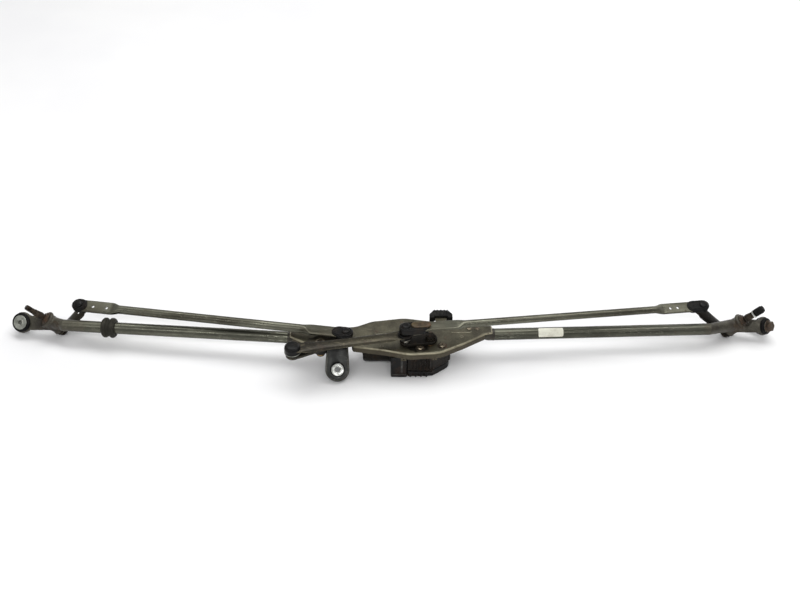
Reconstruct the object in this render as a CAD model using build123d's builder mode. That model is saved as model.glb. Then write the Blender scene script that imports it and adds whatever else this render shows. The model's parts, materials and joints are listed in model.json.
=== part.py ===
from build123d import *
from math import cos, radians, sin, sqrt
import os

# Windshield wiper linkage for a wide windshield: one central gear motor, a tubular
# frame, and two spindles that sweep towards and away from each other.
# Units are millimetres. X runs along the linkage, Y points to its rear and Z up.
# The origin is on the surface that the linkage lies on, under its middle.

os.makedirs("parts", exist_ok=True)

UP = Vector(0, 0, 1)

# ---------------------------------------------------------------- driving dimensions
# motor plate
plate_top = 58
sheet = 2.5
plate_under = plate_top - sheet
skirt_drop = 12
bend_radius = 5
motor_axis = Vector(64, -36, 0)
motor_screw_circle = 22
motor_screw_angles = (221, 337, 99)

# crank, at its park angle
crank_radius = 42
park_angle = 189
crank_bottom = 62
crank_top = 68

# rocker that reverses the drive of the left side
rocker_axis = Vector(-121.5, -44, 0)
rocker_front_arm = 52
rocker_front_angle = 212
rocker_rear_arm = 45
rocker_rear_angle = 15
rocker_bottom = 60.2
rocker_top = 65

# ball joints: a 14 mm ball in a plastic socket
ball_radius = 7
socket_radius = 7.3
neck_radius = 4
low_ball_height = 80
high_ball_height = 95
rocker_ball_height = 75

# spindles, by the centre of their foot, and the levers on them
spindle_tilt = 40
spindle_lean = 9
spindle_radius = 5.5
spindle_length = 84
left_foot = Vector(-583, 51.5, 7)
right_foot = Vector(587, 46, 7)
left_lever_length = 62
right_lever_length = 80
left_lever_angle = 84
right_lever_angle = 92
lever_low = 3
lever_thick = 5
lever_width = 19
ball_level = 19
stud_height = 12.5
stud_lean = 25
half_swing = 46
barrel_low = 10
barrel_high = 42
barrel_radius = 12.5
neck_height = 29
ear_root_height = 25
washer_room = 14

# frame tubes and their end points on the tube axis
tube_radius = 10.2
tube_bore = 8.7
spigot_radius = 8.65
left_tube_inner = Vector(-178, -9.5, 45)
left_tube_outer = Vector(-575, 31.5, 37)
right_tube_inner = Vector(174.5, -1.5, 45)
right_tube_outer = Vector(552, 20.2, 38)

# rubber mounts: centre of each mounting hole and the direction its bolt comes from
centre_mount = Vector(-93, -65.3, 22)
centre_mount_axis = Vector(0.12, -0.74, 0.66).normalized()
left_mount = Vector(-655.5, 55, 23)
left_mount_axis = Vector(-0.25, -0.72, 0.65).normalized()
right_mount = Vector(653.5, 43, 25)
right_mount_axis = Vector(0.643, -0.6, 0.47).normalized()
bolt_hole = 4.25

# gear motor: the armature lies along X, beside the output shaft
armature_y = -13
armature_z = 23
can_radius = 22
can_left = -51
can_right = -0.5
housing_split = 14
output_radius = 5


# ---------------------------------------------------------------- helpers
def polar(centre, radius, angle, height):
    """A point at a radius and angle from a vertical axis."""
    return Vector(
        centre.X + radius * cos(radians(angle)),
        centre.Y + radius * sin(radians(angle)),
        height,
    )


def square_to(direction, line):
    """The part of a direction that is square to a line, as a unit vector."""
    return (direction - line * direction.dot(line)).normalized()


def ring(plane, start, length, outer, inner=0, mode=Mode.ADD):
    """A disc or ring, from start to start + length along the plane's normal."""
    with BuildSketch(plane.offset(start)) as outline:
        Circle(outer)
        if inner:
            Circle(inner, mode=Mode.SUBTRACT)
    extrude(outline.sketch, amount=length, mode=mode)


def turned(centre, axis, points, mode=Mode.ADD):
    """A turned solid: points are (radius, height) pairs about the axis."""
    radial = square_to(Vector(1, 0.1, 0), axis)
    with BuildSketch(Plane(origin=centre, x_dir=radial, z_dir=radial.cross(axis))) as outline:
        with BuildLine():
            Polyline(*points, close=True)
        make_face()
    revolve(outline.sketch, axis=Axis(centre, axis), mode=mode)


def ball(centre, radius, mode=Mode.ADD):
    with Locations(centre):
        Sphere(radius, mode=mode)


def ball_on_neck(centre, axis, stem):
    """A ball on a turned stem, given as (radius, height) pairs from the axis to the neck."""
    meet = -sqrt(ball_radius**2 - neck_radius**2)
    radial = square_to(Vector(1, 0.1, 0), axis)
    with BuildSketch(Plane(origin=centre, x_dir=radial, z_dir=radial.cross(axis))) as outline:
        with BuildLine():
            Polyline(*stem, (neck_radius, meet))
            ThreePointArc((neck_radius, meet), (ball_radius, 0), (0, ball_radius))
            Line((0, ball_radius), stem[0])
        make_face()
    revolve(outline.sketch, axis=Axis(centre, axis))


def bar(start, end, side, near, far, corner):
    """A flat bar between two points; near and far are its (width, thickness) there."""
    along = (end - start).normalized()
    across = square_to(side, along)
    with BuildSketch(Plane(origin=start, x_dir=across, z_dir=along)) as near_end:
        RectangleRounded(near[0], near[1], corner)
    with BuildSketch(Plane(origin=end, x_dir=across, z_dir=along)) as far_end:
        RectangleRounded(far[0], far[1], corner)
    loft([near_end.sketch, far_end.sketch])


def save(piece, label):
    piece.part.label = label
    export_step(piece.part, f"parts/{label}.step")


# ---------------------------------------------------------------- spindle geometry
class Side:
    """Axis, lever and ball of one spindle. out is -1 on the left and 1 on the right."""

    def __init__(self, out, foot, lever_length, lever_angle, inner_ball):
        self.out = out
        self.foot = foot
        tilt = radians(spindle_tilt)
        lean = radians(spindle_lean)
        self.axis = Vector(out * sin(tilt), -cos(tilt) * sin(lean), cos(tilt) * cos(lean))
        rearward = square_to(Vector(0, 1, 0), self.axis)
        inboard = square_to(Vector(-out, 0, 0), self.axis)
        inboard = square_to(inboard, rearward)
        turn = radians(lever_angle)
        self.lever_dir = rearward * cos(turn) + inboard * sin(turn)
        self.ball = self.at(ball_level) + self.lever_dir * lever_length
        self.link_dir = (inner_ball - self.ball).normalized()
        self.socket_axis = square_to(self.axis, self.link_dir)
        # the stud leans towards the socket's axis, most exactly at mid swing
        lean_to = square_to(self.socket_axis, self.axis)
        lean_to = lean_to.rotate(Axis((0, 0, 0), self.axis), out * half_swing)
        self.stud_axis = self.axis * cos(radians(stud_lean)) + lean_to * sin(radians(stud_lean))
        self.plane = Plane(origin=foot, x_dir=rearward, z_dir=self.axis)

    def at(self, height):
        """A point on the spindle's axis, measured from its foot."""
        return self.foot + self.axis * height


crank_low_ball = polar(motor_axis, crank_radius, park_angle, low_ball_height)
crank_high_ball = polar(motor_axis, crank_radius, park_angle, high_ball_height)
rocker_front_ball = polar(rocker_axis, rocker_front_arm, rocker_front_angle, rocker_ball_height)
rocker_rear_ball = polar(rocker_axis, rocker_rear_arm, rocker_rear_angle, rocker_ball_height)
left = Side(-1, left_foot, left_lever_length, left_lever_angle, rocker_rear_ball)
right = Side(1, right_foot, right_lever_length, right_lever_angle, crank_high_ball)


# ---------------------------------------------------------------- frame tubes
def frame_tube(inner, outer, dents, dent_length):
    """A drawn tube; dents are distances of its crimp marks from the inner end."""
    along = (outer - inner).normalized()
    plane = Plane(origin=inner, x_dir=square_to(UP, along), z_dir=along)
    length = (outer - inner).length
    with BuildPart() as tube:
        ring(plane, 0, length, tube_radius, tube_bore)
        for place in dents:
            dent = inner + along * place + Vector(0, -tube_radius - 1.2, -1.5)
            with BuildSketch(Plane(origin=dent, x_dir=along, z_dir=(0, 1, 0))) as mark:
                RectangleRounded(dent_length, 6, 2)
            extrude(mark.sketch, amount=1.9, mode=Mode.SUBTRACT)
    return tube


left_tube = frame_tube(left_tube_inner, left_tube_outer, (11, 28), 13)
right_tube = frame_tube(right_tube_inner, right_tube_outer, (11, 28), 13)
save(left_tube, "left_frame_tube")
save(right_tube, "right_frame_tube")

# rubber collar with two ribs, pushed over the left tube
collar_place = 317
left_along = (left_tube_outer - left_tube_inner).normalized()
with BuildPart() as tube_collar:
    turned(
        left_tube_inner + left_along * collar_place,
        left_along,
        [(10.25, -11.5), (15, -11.5), (17, -10), (17, -4), (15, -2.5), (15, 2.5),
         (17, 4), (17, 10), (15, 11.5), (10.25, 11.5)],
    )
save(tube_collar, "tube_collar")


tongue_width = 15.4


def tube_spigot(inner, outer, out):
    """Casting that joins a tube to the plate: a spigot, a neck and a tongue under the plate."""
    along = (outer - inner).normalized()
    plane = Plane(origin=inner, x_dir=square_to(UP, along), z_dir=along)
    neck_end = inner - Vector(out * 17, 0, 0) + Vector(0, 0, 7.2)
    with BuildPart() as spigot:
        ring(plane, -2, 47, spigot_radius)
        round_plane = Plane(origin=inner, x_dir=square_to(Vector(0, 1, 0), along), z_dir=along * -1)
        with BuildSketch(round_plane) as neck_round:
            RectangleRounded(2 * tube_radius, 2 * tube_radius, tube_radius - 0.2)
        with BuildSketch(Plane(origin=neck_end, x_dir=(0, 1, 0), z_dir=(-out, 0, 0))) as neck_flat:
            RectangleRounded(tongue_width, 6, 2)
        loft([neck_round.sketch, neck_flat.sketch])
        with Locations(neck_end - Vector(out * 16, 0, 0)):
            Box(34, tongue_width, 6)
        with Locations(*[neck_end - Vector(out * x, 0, 0) for x in (12, 26)]):
            Cylinder(2.5, 10, mode=Mode.SUBTRACT)
    return spigot


left_spigot = tube_spigot(left_tube_inner, left_tube_outer, -1)
right_spigot = tube_spigot(right_tube_inner, right_tube_outer, 1)
save(left_spigot, "left_tube_spigot")
save(right_spigot, "right_tube_spigot")

rivet_places = [
    Vector(inner.X - out * (17 + x), inner.Y, 0)
    for inner, out in ((left_tube_inner, -1), (right_tube_inner, 1))
    for x in (12, 26)
]
with BuildPart() as frame_rivets:
    for place in rivet_places:
        turned(
            place,
            UP,
            [(0, 48), (2.4, 48), (2.4, 58.05), (4.2, 58.05), (3.6, 59.4), (2, 60), (0, 60)],
        )
save(frame_rivets, "frame_rivets")

# ---------------------------------------------------------------- motor plate
tab_left = -107
tab_right = -72
tab_root_y = -38
rear_tongue_x = 84
clip_places = ((19, -64.2), (71, -62.4))


# corners of the leaf shape, anticlockwise from the front left: x, y and corner radius
plate_corners = (
    (-176, -21, 3), (-150, -37, 10), (-112, tab_root_y, 6), (tab_right + 2, tab_root_y, 2),
    (-66, -47, 4), (-14, -56, 40), (28, -67, 60), (80, -63, 50), (118, -42, 60), (160, -15, 30),
    (172, -13, 3), (172, 9, 3), (122, 9, 60), (74, 19, 80), (20, 29, 60), (-36, 20, 30),
    (-64, 6, 25), (-110, 3, 60), (-176, 3, 3),
)


def plate_outline():
    """Leaf shape of the plate, with a lobe round the rocker's bearing."""
    with BuildSketch() as outline:
        with BuildLine():
            FilletPolyline(
                *[(x, y) for x, y, bend in plate_corners],
                radius=[bend for x, y, bend in plate_corners],
                close=True,
            )
        make_face()
        with Locations(rocker_axis):
            Circle(11.5)
    return outline.sketch


with BuildPart() as motor_plate:
    extrude(Plane.XY.offset(plate_top - skirt_drop).location * plate_outline(), amount=skirt_drop)
    fillet(motor_plate.faces().sort_by(Axis.Z)[-1].outer_wire().edges(), bend_radius)
    inner_outline = offset(plate_outline(), -sheet, mode=Mode.PRIVATE)
    extrude(
        Plane.XY.offset(plate_top - skirt_drop).location * inner_outline,
        amount=skirt_drop - sheet,
        mode=Mode.SUBTRACT,
    )
    # the skirt is open where the spigots and the mounting bracket come in
    skirt_cut = skirt_drop + 1
    cut_mid = plate_under - skirt_cut / 2
    with Locations((-172, left_tube_inner.Y, cut_mid), (172, right_tube_inner.Y, cut_mid)):
        Box(30, 30, skirt_cut, mode=Mode.SUBTRACT)
    with Locations(((tab_left + tab_right) / 2 - 0.5, tab_root_y - 3, cut_mid)):
        Box(tab_right - tab_left + 8, 14, skirt_cut, mode=Mode.SUBTRACT)
    # rear tongue for the rubber isolator
    with Locations((rear_tongue_x, 27, plate_top - sheet / 2)):
        Box(19, 25, sheet)
    # two clip tabs hang from the front skirt
    for x, y in clip_places:
        with Locations((x, y, plate_top - skirt_drop - 1)):
            Box(9, 1.8, 6)
        with Locations(Location((x, y, plate_top - skirt_drop - 1.4), (90, 0, 0))):
            Cylinder(1.5, 8, mode=Mode.SUBTRACT)
    # holes
    with Locations(motor_axis + UP * plate_top):
        Cylinder(9.1, 12, mode=Mode.SUBTRACT)
    with Locations(rocker_axis + UP * plate_top):
        Cylinder(8.1, 12, mode=Mode.SUBTRACT)
    screw_places = [polar(motor_axis, motor_screw_circle, a, plate_top) for a in motor_screw_angles]
    with Locations(*screw_places):
        Cylinder(3.2, 12, mode=Mode.SUBTRACT)
    with Locations(*[place + UP * plate_top for place in rivet_places]):
        Cylinder(2.5, 12, mode=Mode.SUBTRACT)
    with Locations((-18, -46, plate_top), (118, -22, plate_top)):
        Cylinder(2.6, 12, mode=Mode.SUBTRACT)
save(motor_plate, "motor_plate")

# ---------------------------------------------------------------- centre mounting bracket
tab_x = (tab_left + tab_right) / 2
tab_across = square_to(Vector(1, 0, 0), centre_mount_axis)
tab_plane = Plane(origin=centre_mount, x_dir=tab_across, z_dir=centre_mount_axis)
tab_half = 20.5
tab_rise = 43
rim_depth = 7
tab_sheet = 2.4


def tab_outline(inset):
    """U shape of the tab, in the tab's own plane, its round end below the hole."""
    half = tab_half - inset
    top = tab_rise
    with BuildSketch() as outline:
        with BuildLine():
            Polyline((-half, 0), (-half + 2.5, top), (half - 2.5, top), (half, 0))
            ThreePointArc((half, 0), (0, -half), (-half, 0))
        make_face()
    return outline.sketch


with BuildPart() as centre_bracket:
    extrude(tab_plane.offset(-rim_depth).location * tab_outline(0), amount=rim_depth)
    extrude(
        tab_plane.offset(-rim_depth).location * tab_outline(tab_sheet),
        amount=rim_depth - tab_sheet,
        mode=Mode.SUBTRACT,
    )
    # trim the top level with the plate's underside and add the welding flange
    with Locations((tab_x, tab_root_y, plate_under + 15 - 0.1)):
        Box(90, 90, 30, mode=Mode.SUBTRACT)
    with Locations((tab_x, tab_root_y + 12, plate_under - 1.35)):
        Box(tab_right - tab_left, 30, 2.5)
    ring(tab_plane, -20, 30, 9, mode=Mode.SUBTRACT)
save(centre_bracket, "centre_mount_bracket")


# ---------------------------------------------------------------- rubber mounts
def grommet(centre, axis, outer, hole, plate_low, plate_high, lip):
    """Rubber spool in a hole; the plate it grips lies between the two heights."""
    with BuildPart() as rubber:
        turned(
            centre,
            axis,
            [
                (6.6, plate_low - lip), (outer - 1, plate_low - lip), (outer, plate_low - lip + 1),
                (outer, plate_low - 0.1), (hole - 0.1, plate_low - 0.1),
                (hole - 0.1, plate_high + 0.1), (outer, plate_high + 0.1),
                (outer, plate_high + lip - 1), (outer - 1, plate_high + lip),
                (6.6, plate_high + lip),
            ],
        )
    return rubber


def mount_sleeve(centre, axis, flange, low, high):
    """Flanged steel sleeve inside a rubber mount."""
    with BuildPart() as sleeve:
        turned(
            centre,
            axis,
            [(bolt_hole, low), (6.5, low), (6.5, high), (flange, high), (flange, high + 1.6),
             (bolt_hole, high + 1.6)],
        )
    return sleeve


centre_grommet = grommet(centre_mount, centre_mount_axis, 12.4, 9, -tab_sheet, 0, 4)
centre_sleeve = mount_sleeve(centre_mount, centre_mount_axis, 10.7, -7.5, 4.1)
save(centre_grommet, "centre_grommet")
save(centre_sleeve, "centre_sleeve")

ear_half = 3.5
left_grommet = grommet(left_mount, left_mount_axis, 16.8, 11, -ear_half, ear_half, 5)
left_sleeve = mount_sleeve(left_mount, left_mount_axis, 12.6, -9.5, ear_half + 5.1)
right_grommet = grommet(right_mount, right_mount_axis, 14.5, 10, -ear_half, ear_half, 5)
right_sleeve = mount_sleeve(right_mount, right_mount_axis, 10, -9.5, ear_half + 5.1)
save(left_grommet, "left_mount_grommet")
save(left_sleeve, "left_mount_sleeve")
save(right_grommet, "right_mount_grommet")
save(right_sleeve, "right_mount_sleeve")

# bolt that stays in the right mount: hex head, washer face, shank, relief groove and thread
bolt_seat = ear_half + 5.1 + 1.7
bolt_washer = 1.4
bolt_tip = -24
thread_end = -11
shank_end = -9.9
right_mount_plane = Plane(
    origin=right_mount, x_dir=square_to(UP, right_mount_axis), z_dir=right_mount_axis
)
with BuildPart() as right_bolt:
    turned(
        right_mount,
        right_mount_axis,
        [
            (0, bolt_tip), (3.2, bolt_tip), (4, bolt_tip + 0.8), (4, thread_end), (3.4, thread_end),
            (3.4, shank_end), (4.2, shank_end), (4.2, bolt_seat), (10, bolt_seat),
            (10, bolt_seat + bolt_washer), (0, bolt_seat + bolt_washer),
        ],
    )
    with BuildSketch(right_mount_plane.offset(bolt_seat + bolt_washer)) as hexagon:
        RegularPolygon(7.5, 6, major_radius=False)
    extrude(hexagon.sketch, amount=6.5)
save(right_bolt, "right_mount_bolt")

# rubber isolator on the rear tongue
with BuildPart() as rear_isolator:
    with BuildSketch(Plane.XY.offset(50.5)):
        with BuildLine():
            Polyline(
                (-20, 17.5), (-20, 27), (-17, 31), (-12, 38), (12, 38), (17, 31), (20, 27),
                (20, 17.5), (12, 17.5), (12, 22), (-12, 22), (-12, 17.5), close=True,
            )
        make_face()
    extrude(amount=13)
    with Locations((0, 30, 50.5), (0, 30, 63.5)):
        with GridLocations(6, 1, 4, 1):
            Box(2.2, 18, 2, mode=Mode.SUBTRACT)
    with Locations((0, 26, plate_top - sheet / 2)):
        Box(19.4, 18.4, sheet + 0.4, mode=Mode.SUBTRACT)
rear_isolator.part.position = (rear_tongue_x, 4.5, 0)
save(rear_isolator, "rear_isolator")


# ---------------------------------------------------------------- spindle housings
def pivot_housing(side, tube_end, tube_inner, mount, mount_axis, ear, hole):
    """Casting with a tube spigot, a neck, the spindle's barrel and an eared mount."""
    along = (tube_inner - tube_end).normalized()
    tube_plane = Plane(origin=tube_end, x_dir=square_to(UP, along), z_dir=along)
    barrel_mid = side.at(neck_height)
    neck_way = tube_end - barrel_mid
    ear_plane = Plane(origin=mount, x_dir=square_to(UP, mount_axis), z_dir=mount_axis)
    ear_root = side.at(ear_root_height)
    # the arm meets the ear at the rim point nearest the barrel
    arm_end = mount - square_to(mount - ear_root, mount_axis) * (ear - 4)
    arm_side = square_to(mount_axis, (arm_end - ear_root).normalized())
    with BuildPart() as housing:
        ring(tube_plane, -3, 33, spigot_radius)
        with BuildSketch(tube_plane) as neck_start:
            Circle(tube_radius)
        with BuildSketch(Plane(origin=barrel_mid, x_dir=side.axis, z_dir=neck_way)) as neck_end:
            Circle(11)
        loft([neck_start.sketch, neck_end.sketch])
        ring(side.plane, barrel_low, barrel_high - barrel_low, barrel_radius)
        bar(ear_root, arm_end, arm_side, (16, 23), (7, 1.5 * ear), 3)
        ring(ear_plane, -ear_half, 2 * ear_half, ear)
        # room for the washers above the barrel and for the lever's sweep under it
        ring(side.plane, barrel_high, 15, washer_room, mode=Mode.SUBTRACT)
        ring(side.plane, -25, barrel_low + 25, washer_room, mode=Mode.SUBTRACT)
        ring(side.plane, -25, lever_low + lever_thick + 25.5, 30, mode=Mode.SUBTRACT)
        ring(side.plane, 0, spindle_length, 8.05, mode=Mode.SUBTRACT)
        ring(ear_plane, -20, 40, hole, mode=Mode.SUBTRACT)
        ring(ear_plane, ear_half, 10, ear + 2, mode=Mode.SUBTRACT)
        ring(ear_plane, -ear_half - 10, 10, ear + 2, mode=Mode.SUBTRACT)
    return housing


left_housing = pivot_housing(
    left, left_tube_outer, left_tube_inner, left_mount, left_mount_axis, 17.5, 11
)
right_housing = pivot_housing(
    right, right_tube_outer, right_tube_inner, right_mount, right_mount_axis, 15.5, 10
)
save(left_housing, "left_pivot_housing")
save(right_housing, "right_pivot_housing")


def spindle_bushes(side):
    """Two sintered bushes pressed into the ends of the barrel."""
    with BuildPart() as bushes:
        for start in (barrel_low, barrel_high - 11):
            ring(side.plane, start, 11, 8.0, spindle_radius + 0.05)
    return bushes


save(spindle_bushes(left), "left_spindle_bushes")
save(spindle_bushes(right), "right_spindle_bushes")


# ---------------------------------------------------------------- spindles and levers
groove = barrel_high + 3.4
cone_foot = barrel_high + 9
thread_foot = spindle_length - 16.5
circlip_radius = 5
cone_radius = 6.6
thread_radius = 4.8


def spindle(side):
    """Shaft with a riveted foot, a splined cone for the wiper arm and a threaded tip."""
    with BuildPart() as shaft:
        turned(
            side.foot,
            side.axis,
            [
                (0, 0), (9.2, 0), (10.4, 1), (10.4, 2.9), (spindle_radius, 2.9),
                (spindle_radius, groove), (circlip_radius, groove), (circlip_radius, groove + 1.4),
                (spindle_radius, groove + 1.4), (spindle_radius, cone_foot - 1), (cone_radius, cone_foot),
                (cone_radius, cone_foot + 3), (5.2, thread_foot - 0.5), (thread_radius, thread_foot),
                (thread_radius, spindle_length - 1.5), (3.6, spindle_length), (0, spindle_length),
            ],
        )
        with Locations(side.plane * Location((0, 0, cone_foot + 7))):
            with PolarLocations(cone_radius + 0.1, 24):
                Box(0.8, 0.8, 14, mode=Mode.SUBTRACT)
    return shaft


def spindle_clips(side):
    """Thrust washers under and over the barrel and the circlip that holds the spindle."""
    with BuildPart() as clips:
        ring(side.plane, barrel_low - 1.6, 1.4, 10.5, spindle_radius + 0.1)
        ring(side.plane, barrel_high + 0.2, 1.6, 11.5, spindle_radius + 0.1)
        ring(side.plane, barrel_high + 2.1, 1.1, 10.2, spindle_radius + 0.1)
        ring(side.plane, groove + 0.1, 1.2, 8.8, circlip_radius + 0.05)
    return clips


def spindle_lever(side):
    """Flat lever pressed on the spindle, its end pad bent square to the ball stud."""
    pad_centre = side.ball - side.stud_axis * (stud_height + lever_thick / 2)
    hub_centre = side.at(lever_low + lever_thick / 2)
    pad_dir = square_to(side.lever_dir, side.stud_axis)
    pad_plane = Plane(origin=side.ball, x_dir=pad_dir, z_dir=side.stud_axis)
    arm_dir = (pad_centre - hub_centre).normalized()
    hub_side = side.axis.cross(side.lever_dir)
    pad_side = side.stud_axis.cross(arm_dir).normalized()
    hub_face = Plane(origin=hub_centre + side.lever_dir * 4, x_dir=hub_side, z_dir=side.lever_dir)
    pad_face = Plane(origin=pad_centre, x_dir=pad_side, z_dir=pad_side.cross(side.stud_axis))
    with BuildPart() as lever:
        ring(side.plane, lever_low, lever_thick, lever_width / 2 + 2)
        ring(pad_plane, -stud_height - lever_thick, lever_thick, lever_width / 2)
        with BuildSketch(hub_face) as hub_end:
            Rectangle(lever_width, lever_thick - 0.4)
        with BuildSketch(pad_face) as pad_end:
            Rectangle(lever_width - 2, lever_thick - 0.4)
        loft([hub_end.sketch, pad_end.sketch])
        ring(side.plane, -5, 20, spindle_radius + 0.02, mode=Mode.SUBTRACT)
        ring(pad_plane, -stud_height - 20, 40 - 12, neck_radius + 0.02, mode=Mode.SUBTRACT)
    return lever


def ball_stud(centre, axis, seat, shank):
    """Ball on a collared neck; seat is how far the collar's face is below the ball."""
    stem = [(0, -seat), (7, -seat), (7, -seat + 1.6), (neck_radius, -seat + 2.4)]
    if shank:
        stem[:1] = [(0, -seat - shank), (neck_radius, -seat - shank), (neck_radius, -seat)]
    with BuildPart() as stud:
        ball_on_neck(centre, axis, stem)
    return stud


left_lever = spindle_lever(left)
right_lever = spindle_lever(right)
save(spindle(left), "left_spindle")
save(spindle(right), "right_spindle")
save(spindle_clips(left), "left_spindle_clips")
save(spindle_clips(right), "right_spindle_clips")
save(left_lever, "left_lever")
save(right_lever, "right_lever")
save(ball_stud(left.ball, left.stud_axis, stud_height, lever_thick + 0.5), "left_lever_stud")
save(ball_stud(right.ball, right.stud_axis, stud_height, lever_thick + 0.5), "right_lever_stud")


# ---------------------------------------------------------------- links
def link_end(centre, along, axis, width, thick, flat_length, rod_radius, taper, eye):
    """Flattened end of a tube link: an eye round the socket, a flat and a taper."""
    across = axis.cross(along)
    eye_plane = Plane(origin=centre, x_dir=along, z_dir=axis)
    ring(eye_plane, -thick / 2, thick, eye)
    with BuildSketch(Plane(origin=centre + along * (eye - 4), x_dir=across, z_dir=along)) as near:
        SlotOverall(width, thick)
    extrude(near.sketch, amount=flat_length - eye + 4)
    with BuildSketch(Plane(origin=centre + along * flat_length, x_dir=across, z_dir=along)) as flat:
        SlotOverall(width, thick)
    with BuildSketch(Plane(origin=centre + along * (flat_length + taper), x_dir=across, z_dir=along)) as rod:
        Circle(rod_radius)
    loft([flat.sketch, rod.sketch])
    ring(eye_plane, -20, 40, 9.6, mode=Mode.SUBTRACT)


def link_rod(outer, outer_axis, outer_flat, inner, inner_axis, inner_flat, rod_radius, width, holes):
    """Tube link with both ends flattened; holes are distances from the outer ball."""
    along = (inner - outer).normalized()
    length = (inner - outer).length
    taper = 13
    thick = 3.6
    plane = Plane(origin=outer, x_dir=outer_axis, z_dir=along)
    rod_length = length - outer_flat - inner_flat - 2 * taper
    with BuildPart() as rod:
        ring(plane, outer_flat + taper, rod_length, rod_radius)
        link_end(outer, along, outer_axis, width, thick, outer_flat, rod_radius, taper, 13.5)
        link_end(inner, along * -1, inner_axis, width, thick, inner_flat, rod_radius, taper, 13.5)
        ring(plane, outer_flat + taper + 2, rod_length - 4, rod_radius - 1.5, mode=Mode.SUBTRACT)
        for place in holes:
            hole_plane = Plane(origin=outer + along * place, x_dir=along, z_dir=outer_axis)
            ring(hole_plane, -10, 20, 1.9, mode=Mode.SUBTRACT)
    return rod


socket_body = [(0, -3.2), (11.2, -3.2), (11.2, -1.9), (9.5, -1.9), (9.5, 1.9), (12.6, 1.9), (12.6, 3)]
closed_crown = [(11.5, 7.5), (8, 9.5), (0, 9.5)]
open_crown = [(11.5, 5.2), (0, 5.2)]


def sockets(places, crown=closed_crown):
    """Plastic ball sockets clipped in a link's eyes, by centre and axis."""
    with BuildPart() as shells:
        for centre, axis in places:
            turned(centre, axis, socket_body + crown)
            ball(centre, socket_radius, mode=Mode.SUBTRACT)
    return shells


left_inner_axis = square_to(UP, left.link_dir)
right_inner_axis = square_to(UP, right.link_dir)
left_link = link_rod(
    left.ball, left.socket_axis, 60, rocker_rear_ball, left_inner_axis, 58, 7.5, 23.5, (20, 42)
)
right_link = link_rod(
    right.ball, right.socket_axis, 62, crank_high_ball, right_inner_axis, 86, 6.35, 20.5, (24, 35)
)
save(left_link, "left_link_rod")
save(right_link, "right_link_rod")
save(sockets([(left.ball, left.socket_axis), (rocker_rear_ball, left_inner_axis)]), "left_link_sockets")
save(sockets([(right.ball, right.socket_axis), (crank_high_ball, right_inner_axis)]), "right_link_sockets")

# short link from the crank to the rocker: a pressed channel with an eye at each end
short_along = (crank_low_ball - rocker_front_ball).normalized()
short_axis = square_to(UP, short_along)
short_length = (crank_low_ball - rocker_front_ball).length
short_plane = Plane(
    origin=rocker_front_ball + short_along * 11,
    x_dir=short_axis.cross(short_along),
    z_dir=short_along,
)
with BuildPart() as short_link:
    for centre in (rocker_front_ball, crank_low_ball):
        ring(Plane(origin=centre, x_dir=short_along, z_dir=short_axis), -1.8, 3.6, 13.5)
    with BuildSketch(short_plane) as channel:
        Rectangle(14, 7)
        with Locations((0, -2)):
            Rectangle(10.6, 5, mode=Mode.SUBTRACT)
    extrude(channel.sketch, amount=short_length - 22)
    for centre in (rocker_front_ball, crank_low_ball):
        ring(Plane(origin=centre, x_dir=short_along, z_dir=short_axis), -20, 40, 9.6, mode=Mode.SUBTRACT)
        ring(Plane(origin=centre, x_dir=short_along, z_dir=short_axis), 1.8, 20, 13.2, mode=Mode.SUBTRACT)
        ring(Plane(origin=centre, x_dir=short_along, z_dir=short_axis), -21.8, 20, 13.2, mode=Mode.SUBTRACT)
save(short_link, "short_link_bar")
save(sockets([(rocker_front_ball, short_axis)]), "short_link_outer_socket")
save(sockets([(crank_low_ball, short_axis)], open_crown), "short_link_crank_socket")

# ---------------------------------------------------------------- crank
with BuildPart() as crank_arm:
    with BuildSketch(Plane.XY.offset(crank_bottom)):
        with Locations(motor_axis):
            Circle(12)
        with Locations(polar(motor_axis, crank_radius, park_angle, 0)):
            Circle(10)
        make_hull()
    extrude(amount=crank_top - crank_bottom)
    chamfer(crank_arm.faces().sort_by(Axis.Z)[-1].edges(), 0.8)
    with Locations(motor_axis + UP * crank_top):
        Cylinder(output_radius + 0.02, 20, mode=Mode.SUBTRACT)
    with Locations(polar(motor_axis, crank_radius, park_angle, crank_top)):
        Cylinder(neck_radius + 0.02, 20, mode=Mode.SUBTRACT)
save(crank_arm, "crank_arm")

with BuildPart() as crank_nut:
    with Locations(motor_axis + UP * (crank_top + 0.8)):
        Cylinder(9.4, 1.5)
    with BuildSketch(Plane.XY.offset(crank_top + 1.5)):
        with Locations(motor_axis):
            RegularPolygon(7.2, 6, major_radius=False)
    extrude(amount=4.2)
    with Locations(motor_axis + UP * crank_top):
        Cylinder(output_radius + 0.02, 30, mode=Mode.SUBTRACT)
save(crank_nut, "crank_nut")

# double stud of the crank: the lower ball stays on the arm, the upper one is its own piece
low_seat = low_ball_height - crank_top
with BuildPart() as crank_stud:
    ball_on_neck(
        crank_low_ball,
        UP,
        [(0, -low_seat - 6.5), (neck_radius, -low_seat - 6.5), (neck_radius, -low_seat), (7.5, -low_seat),
         (7.5, -low_seat + 1.6), (neck_radius, -low_seat + 2.4)],
    )
    with Locations(crank_low_ball + UP * 11):
        Box(20, 20, 10, mode=Mode.SUBTRACT)
save(crank_stud, "crank_stud")

with BuildPart() as crank_upper_ball:
    ball_on_neck(crank_high_ball, UP, [(0, -8.1), (neck_radius, -8.1)])
save(crank_upper_ball, "crank_upper_ball")

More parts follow.
